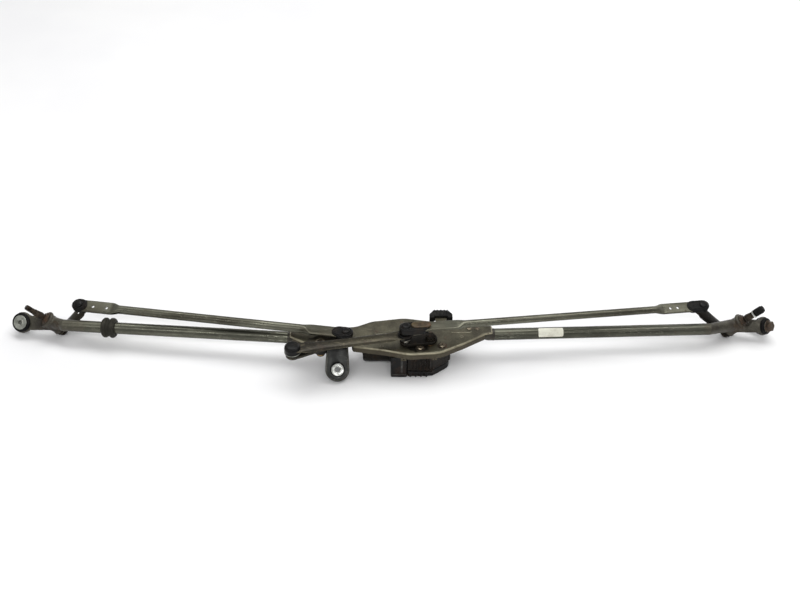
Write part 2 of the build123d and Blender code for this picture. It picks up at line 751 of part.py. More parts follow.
# ---------------------------------------------------------------- rocker
with BuildPart() as rocker_lever:
    with BuildSketch(Plane.XY.offset(rocker_bottom)):
        with Locations(polar(rocker_axis, rocker_front_arm, rocker_front_angle, 0)):
            Circle(12)
        with Locations(rocker_axis):
            Circle(18)
        make_hull()
    with BuildSketch(Plane.XY.offset(rocker_bottom)):
        with Locations(polar(rocker_axis, rocker_rear_arm, rocker_rear_angle, 0)):
            Circle(12)
        with Locations(rocker_axis):
            Circle(18)
        make_hull()
    extrude(amount=rocker_top - rocker_bottom)
    chamfer(rocker_lever.faces().sort_by(Axis.Z)[-1].edges(), 0.8)
    with Locations(rocker_axis + UP * rocker_top):
        Cylinder(output_radius + 0.02, 20, mode=Mode.SUBTRACT)
save(rocker_lever, "rocker_lever")

with BuildPart() as rocker_pin:
    turned(rocker_axis, UP, [(0, 38), (6.6, 38), (7.4, 39), (7.4, 40.8), (5, 40.8), (5, 65.3),
                             (4.4, 65.3), (4.4, 66.5), (5, 66.5), (5, 67.6), (4.4, 68.2), (0, 68.2)])
save(rocker_pin, "rocker_pin")

with BuildPart() as rocker_clip:
    with Locations(rocker_axis + UP * 65.9):
        Cylinder(8.2, 1)
        Cylinder(4.45, 4, mode=Mode.SUBTRACT)
save(rocker_clip, "rocker_circlip")

with BuildPart() as rocker_bearing:
    turned(rocker_axis, UP, [(5.05, 41.2), (8, 41.2), (8, 58.1), (11, 58.1), (11, 59.8), (5.05, 59.8)])
save(rocker_bearing, "rocker_bearing")

rocker_seat = rocker_ball_height - rocker_top - 1.3
save(ball_stud(rocker_front_ball, UP, rocker_seat, 0), "rocker_front_ball")
save(ball_stud(rocker_rear_ball, UP, rocker_seat, 0), "rocker_rear_ball")


# ---------------------------------------------------------------- gear motor
def gearcase_outline():
    """Plan of the gearcase; the connector fills the corner that is left out."""
    with BuildSketch() as outline:
        with BuildLine():
            Polyline(
                (0, -37.4), (25.4, -37.4), (25.4, -60), (68, -58.5), (97, -36), (97, 10), (0, 10),
                close=True,
            )
        make_face()
        corners = outline.vertices().group_by(Axis.X)[-1]
        fillet(corners, 14)
    return outline.sketch


def gearcase_shell(low, height, floor_low, floor_height):
    """Wall of the gearcase with a deck, as one open shell."""
    extrude(Plane.XY.offset(low).location * gearcase_outline(), amount=height)
    cavity = offset(gearcase_outline(), -2.6, mode=Mode.PRIVATE)
    extrude(Plane.XY.offset(floor_low).location * cavity, amount=floor_height, mode=Mode.SUBTRACT)


armature_plane = Plane(origin=(0, armature_y, armature_z), x_dir=(0, 1, 0), z_dir=(1, 0, 0))

with BuildPart() as gear_housing:
    gearcase_shell(housing_split, 41.3, housing_split, 33)
    with Locations(motor_axis + UP * 42):
        Cylinder(13, 14)
    with Locations(motor_axis + UP * 42):
        Cylinder(9.02, 40, mode=Mode.SUBTRACT)
    with Locations(*[place - UP * 3 for place in screw_places]):
        Cylinder(2.95, 26, mode=Mode.SUBTRACT)
    ring(armature_plane, -5, 12, 8, mode=Mode.SUBTRACT)
save(gear_housing, "gear_housing")

with BuildPart() as gear_cover:
    gearcase_shell(0, housing_split - 0.1, 3, housing_split)
    # ribs across the outside of the front wall
    with Locations((44, -60.2, 7)):
        with GridLocations(9, 1, 4, 1):
            Box(2, 5, 12)
save(gear_cover, "gear_cover")

with BuildPart() as motor_can:
    ring(armature_plane, can_left, can_right - can_left, can_radius)
    fillet(motor_can.edges().sort_by(Axis.X)[0], 4)
    ring(armature_plane, can_left + 2, can_right - can_left, can_radius - 1.8, mode=Mode.SUBTRACT)
save(motor_can, "motor_can")

with BuildPart() as motor_magnets:
    ring(armature_plane, -45, 34, 20.1, 16.8)
    with Locations((-28, armature_y, armature_z)):
        Box(60, 10, 60, mode=Mode.SUBTRACT)
save(motor_magnets, "motor_magnets")

with BuildPart() as brush_holder:
    ring(armature_plane, -9, 5, 19.9, 11.5)
save(brush_holder, "brush_holder")

with BuildPart() as carbon_brushes:
    with Locations((-6.5, armature_y - 9.3, armature_z), (-6.5, armature_y + 9.3, armature_z)):
        Box(4, 3.6, 5)
save(carbon_brushes, "carbon_brushes")

with BuildPart() as armature_shaft:
    ring(armature_plane, -47, 130, 3)
    ring(armature_plane, 46, 34, 6)
    for x in range(48, 79, 3):
        ring(armature_plane, x, 1.4, 7, 4.6, mode=Mode.SUBTRACT)
save(armature_shaft, "armature_shaft")

with BuildPart() as armature_core:
    ring(armature_plane, -43, 29, 15.6, 3.02)
    with Locations((-28.5, armature_y, armature_z)):
        with Locations(Rotation(0, 90, 0)):
            with PolarLocations(15, 10):
                Box(5, 2, 30, mode=Mode.SUBTRACT)
save(armature_core, "armature_core")

with BuildPart() as commutator:
    ring(armature_plane, -10, 8, 7, 3.02)
save(commutator, "commutator")

with BuildPart() as worm_wheel:
    with Locations(motor_axis + UP * armature_z):
        Cylinder(16.4, 8)
        Cylinder(9, 16)
    with Locations(motor_axis + UP * armature_z):
        with PolarLocations(16.8, 36):
            Box(2, 1.3, 10, mode=Mode.SUBTRACT)
    with Locations(motor_axis + UP * armature_z):
        Cylinder(output_radius + 0.02, 30, mode=Mode.SUBTRACT)
save(worm_wheel, "worm_wheel")

with BuildPart() as output_shaft:
    turned(motor_axis, UP, [(0, 13), (output_radius, 13), (output_radius, 73.4), (4.2, 74.2), (0, 74.2)])
save(output_shaft, "output_shaft")

with BuildPart() as output_bearing:
    turned(motor_axis, UP, [(output_radius + 0.05, 36), (9, 36), (9, 60.6), (output_radius + 0.05, 60.6)])
save(output_bearing, "output_bearing")

with BuildPart() as motor_screws:
    for place in screw_places:
        turned(place, UP, [(0, -11), (2.9, -11), (2.9, 0.05), (6, 0.05), (6, 1.8), (4.6, 3.2), (1.8, 3.2),
                           (1.8, 1.6), (0, 1.6)])
save(motor_screws, "motor_screws")

# plug-in connector: a shrouded socket that faces left, with flat terminals inside
with BuildPart() as motor_connector:
    with Locations((11, -49.7, 23.2)):
        Box(28, 24, 44.4)
    fillet(motor_connector.edges().filter_by(Axis.Z).sort_by(Axis.Y)[:2], 3)
    with Locations((4, -49.7, 27)):
        Box(16, 16, 26, mode=Mode.SUBTRACT)
    with Locations((11, -62, 7)):
        Box(24, 1.6, 1.6, mode=Mode.SUBTRACT)
save(motor_connector, "motor_connector")

with BuildPart() as connector_terminals:
    with Locations((8, -49.7, 27)):
        with Locations((0, -4, -6), (0, 4, -6), (0, -4, 6), (0, 4, 6)):
            Box(7.9, 0.8, 5)
save(connector_terminals, "connector_terminals")
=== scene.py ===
import json
from math import cos, pi, radians, sin, sqrt

import bmesh
import bpy
from mathutils import Matrix, Vector, noise


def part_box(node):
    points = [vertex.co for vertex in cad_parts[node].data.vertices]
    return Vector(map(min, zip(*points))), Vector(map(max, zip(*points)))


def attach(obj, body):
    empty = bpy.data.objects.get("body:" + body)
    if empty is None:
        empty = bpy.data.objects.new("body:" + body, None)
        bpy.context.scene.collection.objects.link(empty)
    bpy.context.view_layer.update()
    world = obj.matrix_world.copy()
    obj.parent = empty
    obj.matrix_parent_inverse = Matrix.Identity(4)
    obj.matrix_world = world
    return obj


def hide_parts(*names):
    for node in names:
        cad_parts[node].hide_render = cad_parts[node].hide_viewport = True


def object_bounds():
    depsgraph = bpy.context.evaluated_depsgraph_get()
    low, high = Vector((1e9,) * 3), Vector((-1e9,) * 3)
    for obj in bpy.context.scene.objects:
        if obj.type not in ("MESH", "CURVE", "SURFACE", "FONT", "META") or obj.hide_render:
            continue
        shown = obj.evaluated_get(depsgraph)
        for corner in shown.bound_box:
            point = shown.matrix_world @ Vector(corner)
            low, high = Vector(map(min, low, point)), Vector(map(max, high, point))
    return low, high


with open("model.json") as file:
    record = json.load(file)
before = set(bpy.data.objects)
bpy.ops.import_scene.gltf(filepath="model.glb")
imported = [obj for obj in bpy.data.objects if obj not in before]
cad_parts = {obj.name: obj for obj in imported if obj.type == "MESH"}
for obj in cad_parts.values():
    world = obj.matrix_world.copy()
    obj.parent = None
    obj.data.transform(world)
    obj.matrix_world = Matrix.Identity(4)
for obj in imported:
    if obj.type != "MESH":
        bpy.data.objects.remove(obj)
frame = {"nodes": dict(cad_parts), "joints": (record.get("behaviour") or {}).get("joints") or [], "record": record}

cad_low, cad_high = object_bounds()
scene = bpy.context.scene
nodes = frame["nodes"]
joints = {joint["name"]: joint for joint in frame["joints"]}
mounts = {mount["name"]: mount for mount in frame["record"]["mounts"]}
MM = 0.001
UP = Vector((0, 0, 1))
WELD_GAP = 0.02 * MM
STICKER_X = 0.272


# ================================================================ places taken from the frame
def joint_place(name):
    return Vector(joints[name]["pos_m"])


def joint_axis(name):
    return Vector(joints[name]["axis"]).normalized()


def ball_centre(node, radius=7 * MM):
    """Centre of a ball from its node's box: the ball is the top of the node."""
    low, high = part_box(node)
    return Vector(((low.x + high.x) / 2, (low.y + high.y) / 2, high.z - radius))


def square_to(direction, line):
    """The part of a direction that is square to a line, as a unit vector."""
    return (direction - line * direction.dot(line)).normalized()


motor_axis = joint_place("crank_turn")
rocker_axis = joint_place("rocker_swing")
crank_low_ball = joint_place("short_link_pivot")
crank_high_ball = ball_centre("crank_upper_ball")
rocker_front_ball = ball_centre("rocker_front_ball")
rocker_rear_ball = ball_centre("rocker_rear_ball")
plate_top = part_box("motor_plate")[1].z


class Side:
    """Spindle, lever ball and mount of one end of the linkage."""

    def __init__(self, name, out, mount_centre, mount_axis, inner_ball):
        self.name = name
        self.out = out
        self.foot = joint_place(f"{name}_spindle_sweep")
        self.axis = joint_axis(f"{name}_spindle_sweep")
        self.ball = joint_place(f"{name}_link_pivot")
        self.inner_ball = inner_ball
        self.link_dir = (inner_ball - self.ball).normalized()
        self.outer_up = square_to(self.axis, self.link_dir)
        self.inner_up = square_to(UP, self.link_dir)
        self.mount = mount_centre
        self.mount_axis = mount_axis

    def at(self, height):
        """A point on the spindle's axis, in millimetres from its foot."""
        return self.foot + self.axis * (height * MM)


left_hole, right_pin = mounts["left_bolt_hole"], mounts["right_bolt_end"]
left_mount_axis = Vector(left_hole["axis"]).normalized()
right_mount_axis = -Vector(right_pin["axis"]).normalized()
left = Side(
    "left", -1, Vector(left_hole["pos_m"]) - left_mount_axis * 0.35 * MM,
    left_mount_axis, rocker_rear_ball,
)
right = Side(
    "right", 1, Vector(right_pin["pos_m"]) + right_mount_axis * 16.75 * MM,
    right_mount_axis, crank_high_ball,
)
centre_hole = mounts["centre_bolt_hole"]
centre_mount_axis = Vector(centre_hole["axis"]).normalized()
centre_mount = Vector(centre_hole["pos_m"]) + centre_mount_axis * 0.9 * MM


# ================================================================ materials
class Shader:
    """A Principled material under construction. Coordinates are the object's own, in metres."""

    def __init__(self, name):
        self.material = bpy.data.materials.new(name)
        self.material.use_nodes = True
        self.tree = self.material.node_tree
        self.surface = self.tree.nodes["Principled BSDF"]
        self.place = self.new("ShaderNodeTexCoord").outputs["Object"]

    def new(self, kind, **settings):
        node = self.tree.nodes.new(kind)
        for key, value in settings.items():
            setattr(node, key, value)
        return node

    def put(self, socket, value):
        if isinstance(value, bpy.types.NodeSocket):
            self.tree.links.new(value, socket)
        else:
            socket.default_value = value

    def set(self, **inputs):
        """Inputs of the Principled shader, with _ for a space in the name."""
        for key, value in inputs.items():
            self.put(self.surface.inputs[key.replace("_", " ")], value)

    def noise(self, scale, detail=4, rough=0.55, stretch=(1, 1, 1)):
        mapping = self.new("ShaderNodeMapping")
        self.put(mapping.inputs["Vector"], self.place)
        mapping.inputs["Scale"].default_value = stretch
        texture = self.new("ShaderNodeTexNoise")
        self.put(texture.inputs["Vector"], mapping.outputs["Vector"])
        texture.inputs["Scale"].default_value = scale
        texture.inputs["Detail"].default_value = detail
        texture.inputs["Roughness"].default_value = rough
        return texture.outputs["Fac"]

    def spots(self, scale, low, high):
        """Small round spots: 1 in the middle of each, 0 between them."""
        texture = self.new("ShaderNodeTexVoronoi")
        self.put(texture.inputs["Vector"], self.place)
        texture.inputs["Scale"].default_value = scale
        return self.range(texture.outputs["Distance"], high, low)

    def range(self, value, low, high, to_low=0.0, to_high=1.0):
        node = self.new("ShaderNodeMapRange", interpolation_type="SMOOTHSTEP")
        self.put(node.inputs["Value"], value)
        for key, number in zip(("From Min", "From Max", "To Min", "To Max"), (low, high, to_low, to_high)):
            node.inputs[key].default_value = number
        return node.outputs["Result"]

    def math(self, operation, a, b=0.0):
        node = self.new("ShaderNodeMath", operation=operation, use_clamp=operation in ("ADD", "MULTIPLY"))
        self.put(node.inputs[0], a)
        self.put(node.inputs[1], b)
        return node.outputs[0]

    def times(self, a, b):
        return self.math("MULTIPLY", a, b)

    def mix(self, share, a, b):
        node = self.new("ShaderNodeMix", data_type="RGBA")
        self.put(node.inputs["Factor"], share)
        for socket, value in ((node.inputs[6], a), (node.inputs[7], b)):
            self.put(socket, value if isinstance(value, bpy.types.NodeSocket) else (*value, 1))
        return node.outputs[2]

    def near(self, points, reach, soft):
        """1 within reach of any of the points, fading to 0 over soft, all in millimetres."""
        found = 0.0
        for point in points:
            distance = self.new("ShaderNodeVectorMath", operation="DISTANCE")
            self.put(distance.inputs[0], self.place)
            distance.inputs[1].default_value = point
            mask = self.range(distance.outputs["Value"], (reach + soft) * MM, reach * MM)
            found = self.math("MAXIMUM", mask, found)
        return found

    def edges(self, radius):
        """1 along sharp outer and inner edges, within a radius in millimetres."""
        bevel = self.new("ShaderNodeBevel", samples=4)
        bevel.inputs["Radius"].default_value = radius * MM
        plain = self.new("ShaderNodeNewGeometry")
        dot = self.new("ShaderNodeVectorMath", operation="DOT_PRODUCT")
        self.put(dot.inputs[0], bevel.outputs["Normal"])
        self.put(dot.inputs[1], plain.outputs["Normal"])
        return self.range(dot.outputs["Value"], 0.99, 0.8)

    def facing(self, direction, low, high):
        """1 where the surface faces a direction of the row frame, from a low to a high cosine."""
        plain = self.new("ShaderNodeNewGeometry")
        dot = self.new("ShaderNodeVectorMath", operation="DOT_PRODUCT")
        self.put(dot.inputs[0], plain.outputs["Normal"])
        dot.inputs[1].default_value = direction
        return self.range(dot.outputs["Value"], low, high)

    def bump(self, height, distance, strength=1.0, under=None):
        node = self.new("ShaderNodeBump")
        node.inputs["Strength"].default_value = strength
        node.inputs["Distance"].default_value = distance * MM
        self.put(node.inputs["Height"], height)
        if under is not None:
            self.put(node.inputs["Normal"], under)
        return node.outputs["Normal"]


def aged_metal(
    name, colour, dark, pale, rust=(0.040, 0.021, 0.010), rust_share=0.3, metallic=0.7,
    gloss=0.34, grain=0.12, stretch=(1, 1, 1), rust_at=(), rust_reach=(20, 30),
    grease_and_shade_at=(), grease_and_shade_reach=(15, 20), edge=0.5, folded=None, shine=0.5,
):
    """Plated or bare steel with cloudy stains, fine speckle, worn edges, rust, and grease that on the plate is
    also painted shade; with folded, a darker brown on faces that don't face up and a painted highlight along the
    bend.
    """
    s = Shader(name)
    clouds = s.noise(38, 6, 0.6, stretch)
    body = s.mix(s.range(clouds, 0.32, 0.68), dark, colour)
    speckle = s.noise(900, 3, 0.7, stretch)
    body = s.mix(s.times(s.range(speckle, 0.58, 0.75), 0.55), body, pale)
    pits = s.spots(420, 0.12, 0.32)
    pits = s.times(pits, s.range(s.noise(60, 3), 0.45, 0.6))
    body = s.mix(s.times(pits, 0.75), body, dark)
    scratches = s.range(s.noise(520, 2, 0.5, (0.06, 1, 1)), 0.66, 0.74)
    body = s.mix(s.times(scratches, 0.35), body, pale)
    if edge:
        worn = s.times(s.edges(0.9), s.range(s.noise(160, 4), 0.35, 0.6))
        body = s.mix(s.times(worn, edge), body, pale)
    # With folded: faces that don't face up are mixed toward the folded colour, a darker brown.
    if folded:
        level = s.facing(UP, 0.3, 0.95)
        body = s.mix(s.times(s.math("SUBTRACT", 1.0, level), 0.7), body, folded)
        # Painted highlight: a pale band where the top turns down over the rounded bend.
        bend = s.times(s.facing(UP, 0.3, 0.6), s.math("SUBTRACT", 1.0, s.facing(UP, 0.8, 0.97)))
        bend = s.times(bend, s.range(s.noise(70, 4), 0.3, 0.55, 0.35, 0.8))
        body = s.mix(bend, body, pale)
    patches = s.range(s.noise(55, 8, 0.72), 0.62 - rust_share * 0.4, 0.74 - rust_share * 0.3)
    stain = patches
    if rust_at:
        close = s.near(rust_at, *rust_reach)
        ragged = s.math("ADD", s.times(close, 1.4), s.math("SUBTRACT", patches, 0.6))
        stain = s.math("MAXIMUM", s.times(patches, 0.75), s.range(ragged, 0.25, 0.8))
    rust_tone = s.mix(s.range(s.noise(240, 5, 0.7), 0.35, 0.65), rust, [1.9 * c for c in rust])
    body = s.mix(stain, body, rust_tone)
    matt = s.times(stain, 0.85)
    # Near-black grease round the given points; on the plate round the crank it is also painted shade in the gap
    # under the link and crank arm.
    if grease_and_shade_at:
        close = s.near(grease_and_shade_at, *grease_and_shade_reach)
        grease_and_shade = s.range(s.math("ADD", close, s.math("SUBTRACT", s.noise(120, 5), 0.55)), 0.4, 0.75)
        body = s.mix(s.times(grease_and_shade, 0.93), body, (0.006, 0.005, 0.004))
        matt = s.math("SUBTRACT", matt, s.times(grease_and_shade, 0.25))
    rough = s.range(s.noise(130, 5, 0.65, stretch), 0.3, 0.7, gloss - 0.07, gloss + 0.14)
    rough = s.math("ADD", rough, s.times(matt, 0.35))
    s.set(
        Base_Color=body,
        Metallic=s.times(s.math("SUBTRACT", 1.0, matt), metallic),
        Roughness=rough,
        Specular_IOR_Level=shine,
    )
    coarse = s.bump(s.noise(150, 6, 0.6), 0.35, grain)
    s.set(Normal=s.bump(s.math("ADD", speckle, stain), 0.12, grain * 2, coarse))
    return s.material


def moulded(name, colour, dust, gloss, coat=0.0, grain=0.2, brown=0.0):
    """Black plastic or rubber with a fine moulded grain, dust in the hollows and a little grease."""
    s = Shader(name)
    clouds = s.noise(70, 6, 0.65)
    body = s.mix(s.range(clouds, 0.42, 0.72), colour, dust)
    dirt = s.range(s.noise(45, 7, 0.7), 0.5, 0.66)
    body = s.mix(s.times(dirt, brown), body, (0.055, 0.027, 0.012))
    body = s.mix(s.times(s.edges(0.6), 0.35), body, [2.4 * c for c in dust])
    s.set(
        Base_Color=body,
        Roughness=s.range(s.noise(220, 4, 0.6), 0.3, 0.7, gloss - 0.1, gloss + 0.15),
        Coat_Weight=coat,
        Coat_Roughness=0.2,
        Specular_IOR_Level=0.12,
    )
    s.set(Normal=s.bump(s.noise(1500, 2, 0.5), 0.05, grain, s.bump(clouds, 0.3, grain)))
    return s.material


def polished(name, colour, dull, metallic=1.0, gloss=0.22, dirt=0.3):
    """Bright plate or ground steel with fine turning marks and dirt."""
    s = Shader(name)
    stain = s.times(s.range(s.noise(300, 6, 0.7), 0.5, 0.68), dirt)
    body = s.mix(s.range(s.noise(90, 4), 0.35, 0.65), colour, dull)
    s.set(
        Base_Color=s.mix(stain, body, (0.06, 0.04, 0.02)),
        Metallic=metallic,
        Roughness=s.range(s.noise(420, 5, 0.7), 0.3, 0.7, gloss, gloss + 0.2),
        Normal=s.bump(s.noise(900, 3, 0.6), 0.06, 0.25),
    )
    return s.material


OLIVE, OLIVE_DARK, OLIVE_PALE = (0.142, 0.142, 0.108), (0.052, 0.048, 0.035), (0.34, 0.34, 0.26)

DRAWN = {"metallic": 0.85, "gloss": 0.31, "grain": 0.10, "stretch": (0.12, 1, 1)}

tube_steel = aged_metal(
    "tube_steel", OLIVE, (0.052, 0.052, 0.041), OLIVE_PALE, rust_share=0.10,
    rust_at=[left.at(25), right.at(25)], rust_reach=(45, 70), edge=0.3, **DRAWN,
)
plate_steel = aged_metal(
    "plate_steel", (0.094, 0.087, 0.056), (0.040, 0.035, 0.022), (0.36, 0.33, 0.23), rust_share=0.18,
    # folded: darker brown on faces that don't face up, and a painted highlight along the front bend.
    metallic=0.5, gloss=0.38, grain=0.2, rust=(0.034, 0.022, 0.010), folded=(0.040, 0.029, 0.014),
    # Grease round the crank and the rocker; round the crank it is also painted shade in the gap under the link and
    # the crank arm.
    grease_and_shade_at=[motor_axis + UP * 20 * MM, (motor_axis + crank_low_ball) / 2, rocker_axis],
    grease_and_shade_reach=(15, 24), edge=0.6,
)
bracket_steel = aged_metal(
    "bracket_steel", (0.045, 0.047, 0.044), (0.018, 0.018, 0.017), (0.24, 0.24, 0.21), rust_share=0.05,
    metallic=0.5, gloss=0.4, edge=1.0,
)
left_link_steel = aged_metal(
    "left_link_steel", OLIVE, OLIVE_DARK, OLIVE_PALE, rust_share=0.05, edge=0.15,
    rust_at=[left.ball, rocker_rear_ball], rust_reach=(34, 30), rust=(0.040, 0.030, 0.012),
    grease_and_shade_at=[left.ball, rocker_rear_ball], grease_and_shade_reach=(10, 12), **DRAWN,
)
right_link_steel = aged_metal(
    "right_link_steel", OLIVE, OLIVE_DARK, OLIVE_PALE, rust_share=0.07, edge=0.15,
    rust_at=[right.ball, crank_high_ball], rust_reach=(58, 26), rust=(0.034, 0.026, 0.012),
    grease_and_shade_at=[right.ball, crank_high_ball], grease_and_shade_reach=(12, 14), **DRAWN,
)
brown_steel = aged_metal(
    "brown_steel", (0.034, 0.028, 0.015), (0.010, 0.008, 0.005), (0.24, 0.20, 0.11), rust_share=0.25,
    metallic=0.5, grain=0.3, rust=(0.026, 0.015, 0.007), edge=0.9,
)
black_steel = aged_metal(
    "black_steel", (0.012, 0.010, 0.007), (0.006, 0.005, 0.004), (0.12, 0.10, 0.07), rust_share=0.25,
    metallic=0.3, gloss=0.36, grain=0.3, rust=(0.014, 0.009, 0.005), shine=0.15,
)
spindle_steel = aged_metal(
    "spindle_steel", (0.018, 0.014, 0.009), (0.006, 0.005, 0.004), (0.22, 0.17, 0.12), rust_share=0.3,
    metallic=0.5, gloss=0.3, grain=0.3, rust=(0.018, 0.011, 0.006), edge=0.7, shine=0.2,
)
casting = aged_metal(
    "casting", (0.076, 0.071, 0.052), (0.026, 0.022, 0.016), (0.26, 0.24, 0.17), rust_share=0.25,
    metallic=0.4, gloss=0.4, grain=0.5, rust=(0.024, 0.016, 0.008),
    rust_at=[left.at(20), right.at(22)], rust_reach=(14, 34), edge=0.6,
)
case_metal = aged_metal(
    "case_metal", (0.012, 0.009, 0.007), (0.006, 0.005, 0.004), (0.12, 0.09, 0.06), rust_share=0.35,
    metallic=0.3, gloss=0.3, grain=0.4, rust=(0.018, 0.010, 0.005), edge=0.8, shine=0.15,
)
amber_rust = aged_metal(
    "amber_rust", (0.115, 0.080, 0.030), (0.030, 0.018, 0.008), (0.32, 0.26, 0.13), rust_share=0.4,
    metallic=0.4, gloss=0.36, grain=0.35, rust=(0.055, 0.028, 0.010),
)
fastener = aged_metal(
    "fastener", (0.20, 0.17, 0.12), (0.06, 0.045, 0.03), (0.5, 0.46, 0.36), rust_share=0.3,
    metallic=0.8, gloss=0.3, grain=0.15, edge=0.7,
)
rusty_bolt = aged_metal(
    "rusty_bolt", (0.052, 0.036, 0.021), (0.016, 0.011, 0.007), (0.30, 0.23, 0.15), rust_share=0.45,
    metallic=0.5, grain=0.4, rust=(0.034, 0.019, 0.009), edge=0.9,
)
bright_plate = polished("bright_plate", (0.72, 0.73, 0.70), (0.42, 0.43, 0.40))
dull_plate = polished(
    "dull_plate", (0.36, 0.37, 0.33), (0.20, 0.21, 0.18), metallic=0.7, gloss=0.36, dirt=0.5,
)
ground_steel = polished("ground_steel", (0.55, 0.54, 0.50), (0.35, 0.33, 0.28), dirt=0.4)
bronze = polished("bronze", (0.42, 0.28, 0.13), (0.25, 0.16, 0.08), dirt=0.5)
brass = polished("brass", (0.72, 0.55, 0.25), (0.5, 0.38, 0.18), dirt=0.1)
copper = polished("copper", (0.68, 0.36, 0.20), (0.45, 0.24, 0.14), dirt=0.2)
rubber = moulded("rubber", (0.005, 0.005, 0.005), (0.018, 0.017, 0.015), 0.55)
collar_rubber = moulded("collar_rubber", (0.022, 0.021, 0.016), (0.050, 0.047, 0.036), 0.55)
nylon = moulded("nylon", (0.004, 0.004, 0.004), (0.012, 0.011, 0.009), 0.36, coat=0.06, brown=0.15)
cover_plastic = moulded(
    "cover_plastic", (0.004, 0.004, 0.004), (0.014, 0.012, 0.010), 0.34, coat=0.08, brown=0.2,
)
carbon = moulded("carbon", (0.02, 0.02, 0.02), (0.05, 0.05, 0.05), 0.6)
ferrite = moulded("ferrite", (0.06, 0.06, 0.06), (0.1, 0.1, 0.1), 0.7)
gear_nylon = moulded("gear_nylon", (0.62, 0.60, 0.50), (0.45, 0.43, 0.35), 0.4)

cad_materials = {
    tube_steel: ("left_frame_tube", "right_frame_tube"),
    plate_steel: ("motor_plate",),
    bracket_steel: ("centre_mount_bracket",),
    brown_steel: ("rocker_lever", "left_lever", "right_lever"),
    black_steel: ("crank_arm", "crank_nut", "motor_can"),
    spindle_steel: ("left_spindle", "right_spindle", "output_shaft", "rocker_pin"),
    fastener: ("frame_rivets", "motor_screws", "rocker_circlip", "left_spindle_clips", "right_spindle_clips"),
    rusty_bolt: ("right_mount_bolt",),
    casting: ("left_pivot_housing", "right_pivot_housing", "left_tube_spigot", "right_tube_spigot"),
    case_metal: ("gear_housing",),
    left_link_steel: ("left_link_rod", "short_link_bar"),
    right_link_steel: ("right_link_rod",),
    bright_plate: ("centre_sleeve", "right_mount_sleeve"),
    dull_plate: ("left_mount_sleeve",),
    ground_steel: (
        "left_lever_stud", "right_lever_stud", "crank_stud", "crank_upper_ball", "rocker_front_ball",
        "rocker_rear_ball", "armature_shaft", "armature_core",
    ),
    bronze: ("left_spindle_bushes", "right_spindle_bushes", "rocker_bearing", "output_bearing"),
    rubber: ("centre_grommet", "left_mount_grommet", "right_mount_grommet", "rear_isolator"),
    collar_rubber: ("tube_collar",),
    nylon: (
        "left_link_sockets", "right_link_sockets", "short_link_outer_socket", "short_link_crank_socket",
        "brush_holder",
    ),
    cover_plastic: ("gear_cover", "motor_connector"),
    carbon: ("carbon_brushes",),
    ferrite: ("motor_magnets",),
    gear_nylon: ("worm_wheel",),
    copper: ("commutator",),
    brass: ("connector_terminals",),
}
for material, names in cad_materials.items():
    for name in names:
        for place in nodes[name].material_slots:
            place.material = material


# ================================================================ mesh helpers
def finished(name, body, material, mesh, replaced=(), sharp=32):
    """An object for a mesh: smooth shaded with sharp edges, riding on a body."""
    work = bmesh.new()
    work.from_mesh(mesh)
    bmesh.ops.remove_doubles(work, verts=work.verts, dist=0.00001)
    bmesh.ops.recalc_face_normals(work, faces=work.faces)
    work.to_mesh(mesh)
    work.free()
    mesh.shade_smooth()
    mesh.set_sharp_from_angle(angle=radians(sharp))
    mesh.materials.clear()
    mesh.materials.append(material)
    made = bpy.data.objects.new(name, mesh)
    scene.collection.objects.link(made)
    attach(made, body)
    if replaced:
        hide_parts(*replaced)
    return made


def mesh_of(name, shape):
    """A mesh from (verts, faces)."""
    verts, faces = shape
    mesh = bpy.data.meshes.new(name)
    mesh.from_pydata([tuple(v) for v in verts], [], faces)
    mesh.validate()
    return mesh


def evaluated(mesh, modifiers):
    """A mesh after modifiers, given as (kind, settings) pairs."""
    made = bpy.data.objects.new("work", mesh)
    scene.collection.objects.link(made)
    for kind, settings in modifiers:
        modifier = made.modifiers.new(kind, kind)
        for key, value in settings.items():
            setattr(modifier, key, value)
    bpy.context.view_layer.update()
    ready = made.evaluated_get(bpy.context.evaluated_depsgraph_get())
    result = bpy.data.meshes.new_from_object(ready)
    bpy.data.objects.remove(made)
    return result


def drilled(mesh, holes):
    """The mesh with round holes: (centre, axis, radius in millimetres)."""
    parts = [turned(centre, axis, [(radius, -15), (radius, 15)], 0, 20) for centre, axis, radius in holes]
    cutter = bpy.data.objects.new("cutter", mesh_of("cutter", joined(*parts)))
    scene.collection.objects.link(cutter)
    result = evaluated(mesh, [("BOOLEAN", {"operation": "DIFFERENCE", "object": cutter, "solver": "EXACT"})])
    bpy.data.objects.remove(cutter)
    return result


def piece(name, body, material, shape, replaced=(), sharp=32, holes=()):
    """A finished piece from (verts, faces), drilled first if it has holes."""
    mesh = mesh_of(name, shape)
    if holes:
        mesh = drilled(mesh, holes)
    return finished(name, body, material, mesh, replaced, sharp)


def joined(*parts):
    """Several (verts, faces) as one."""
    verts, faces = [], []
    for part_verts, part_faces in parts:
        base = len(verts)
        verts += part_verts
        faces += [tuple(i + base for i in face) for face in part_faces]
    return verts, faces


def skinned(rings, closed_ends=True):
    """Skin over rings of the same number of points."""
    count = len(rings[0])
    verts = [point for ring in rings for point in ring]
    faces = []
    for k in range(len(rings) - 1):
        for i in range(count):
            j = (i + 1) % count
            faces.append((k * count + i, k * count + j, (k + 1) * count + j, (k + 1) * count + i))
    if closed_ends:
        faces.append(tuple(reversed(range(count))))
        faces.append(tuple(range((len(rings) - 1) * count, len(rings) * count)))
    return verts, faces


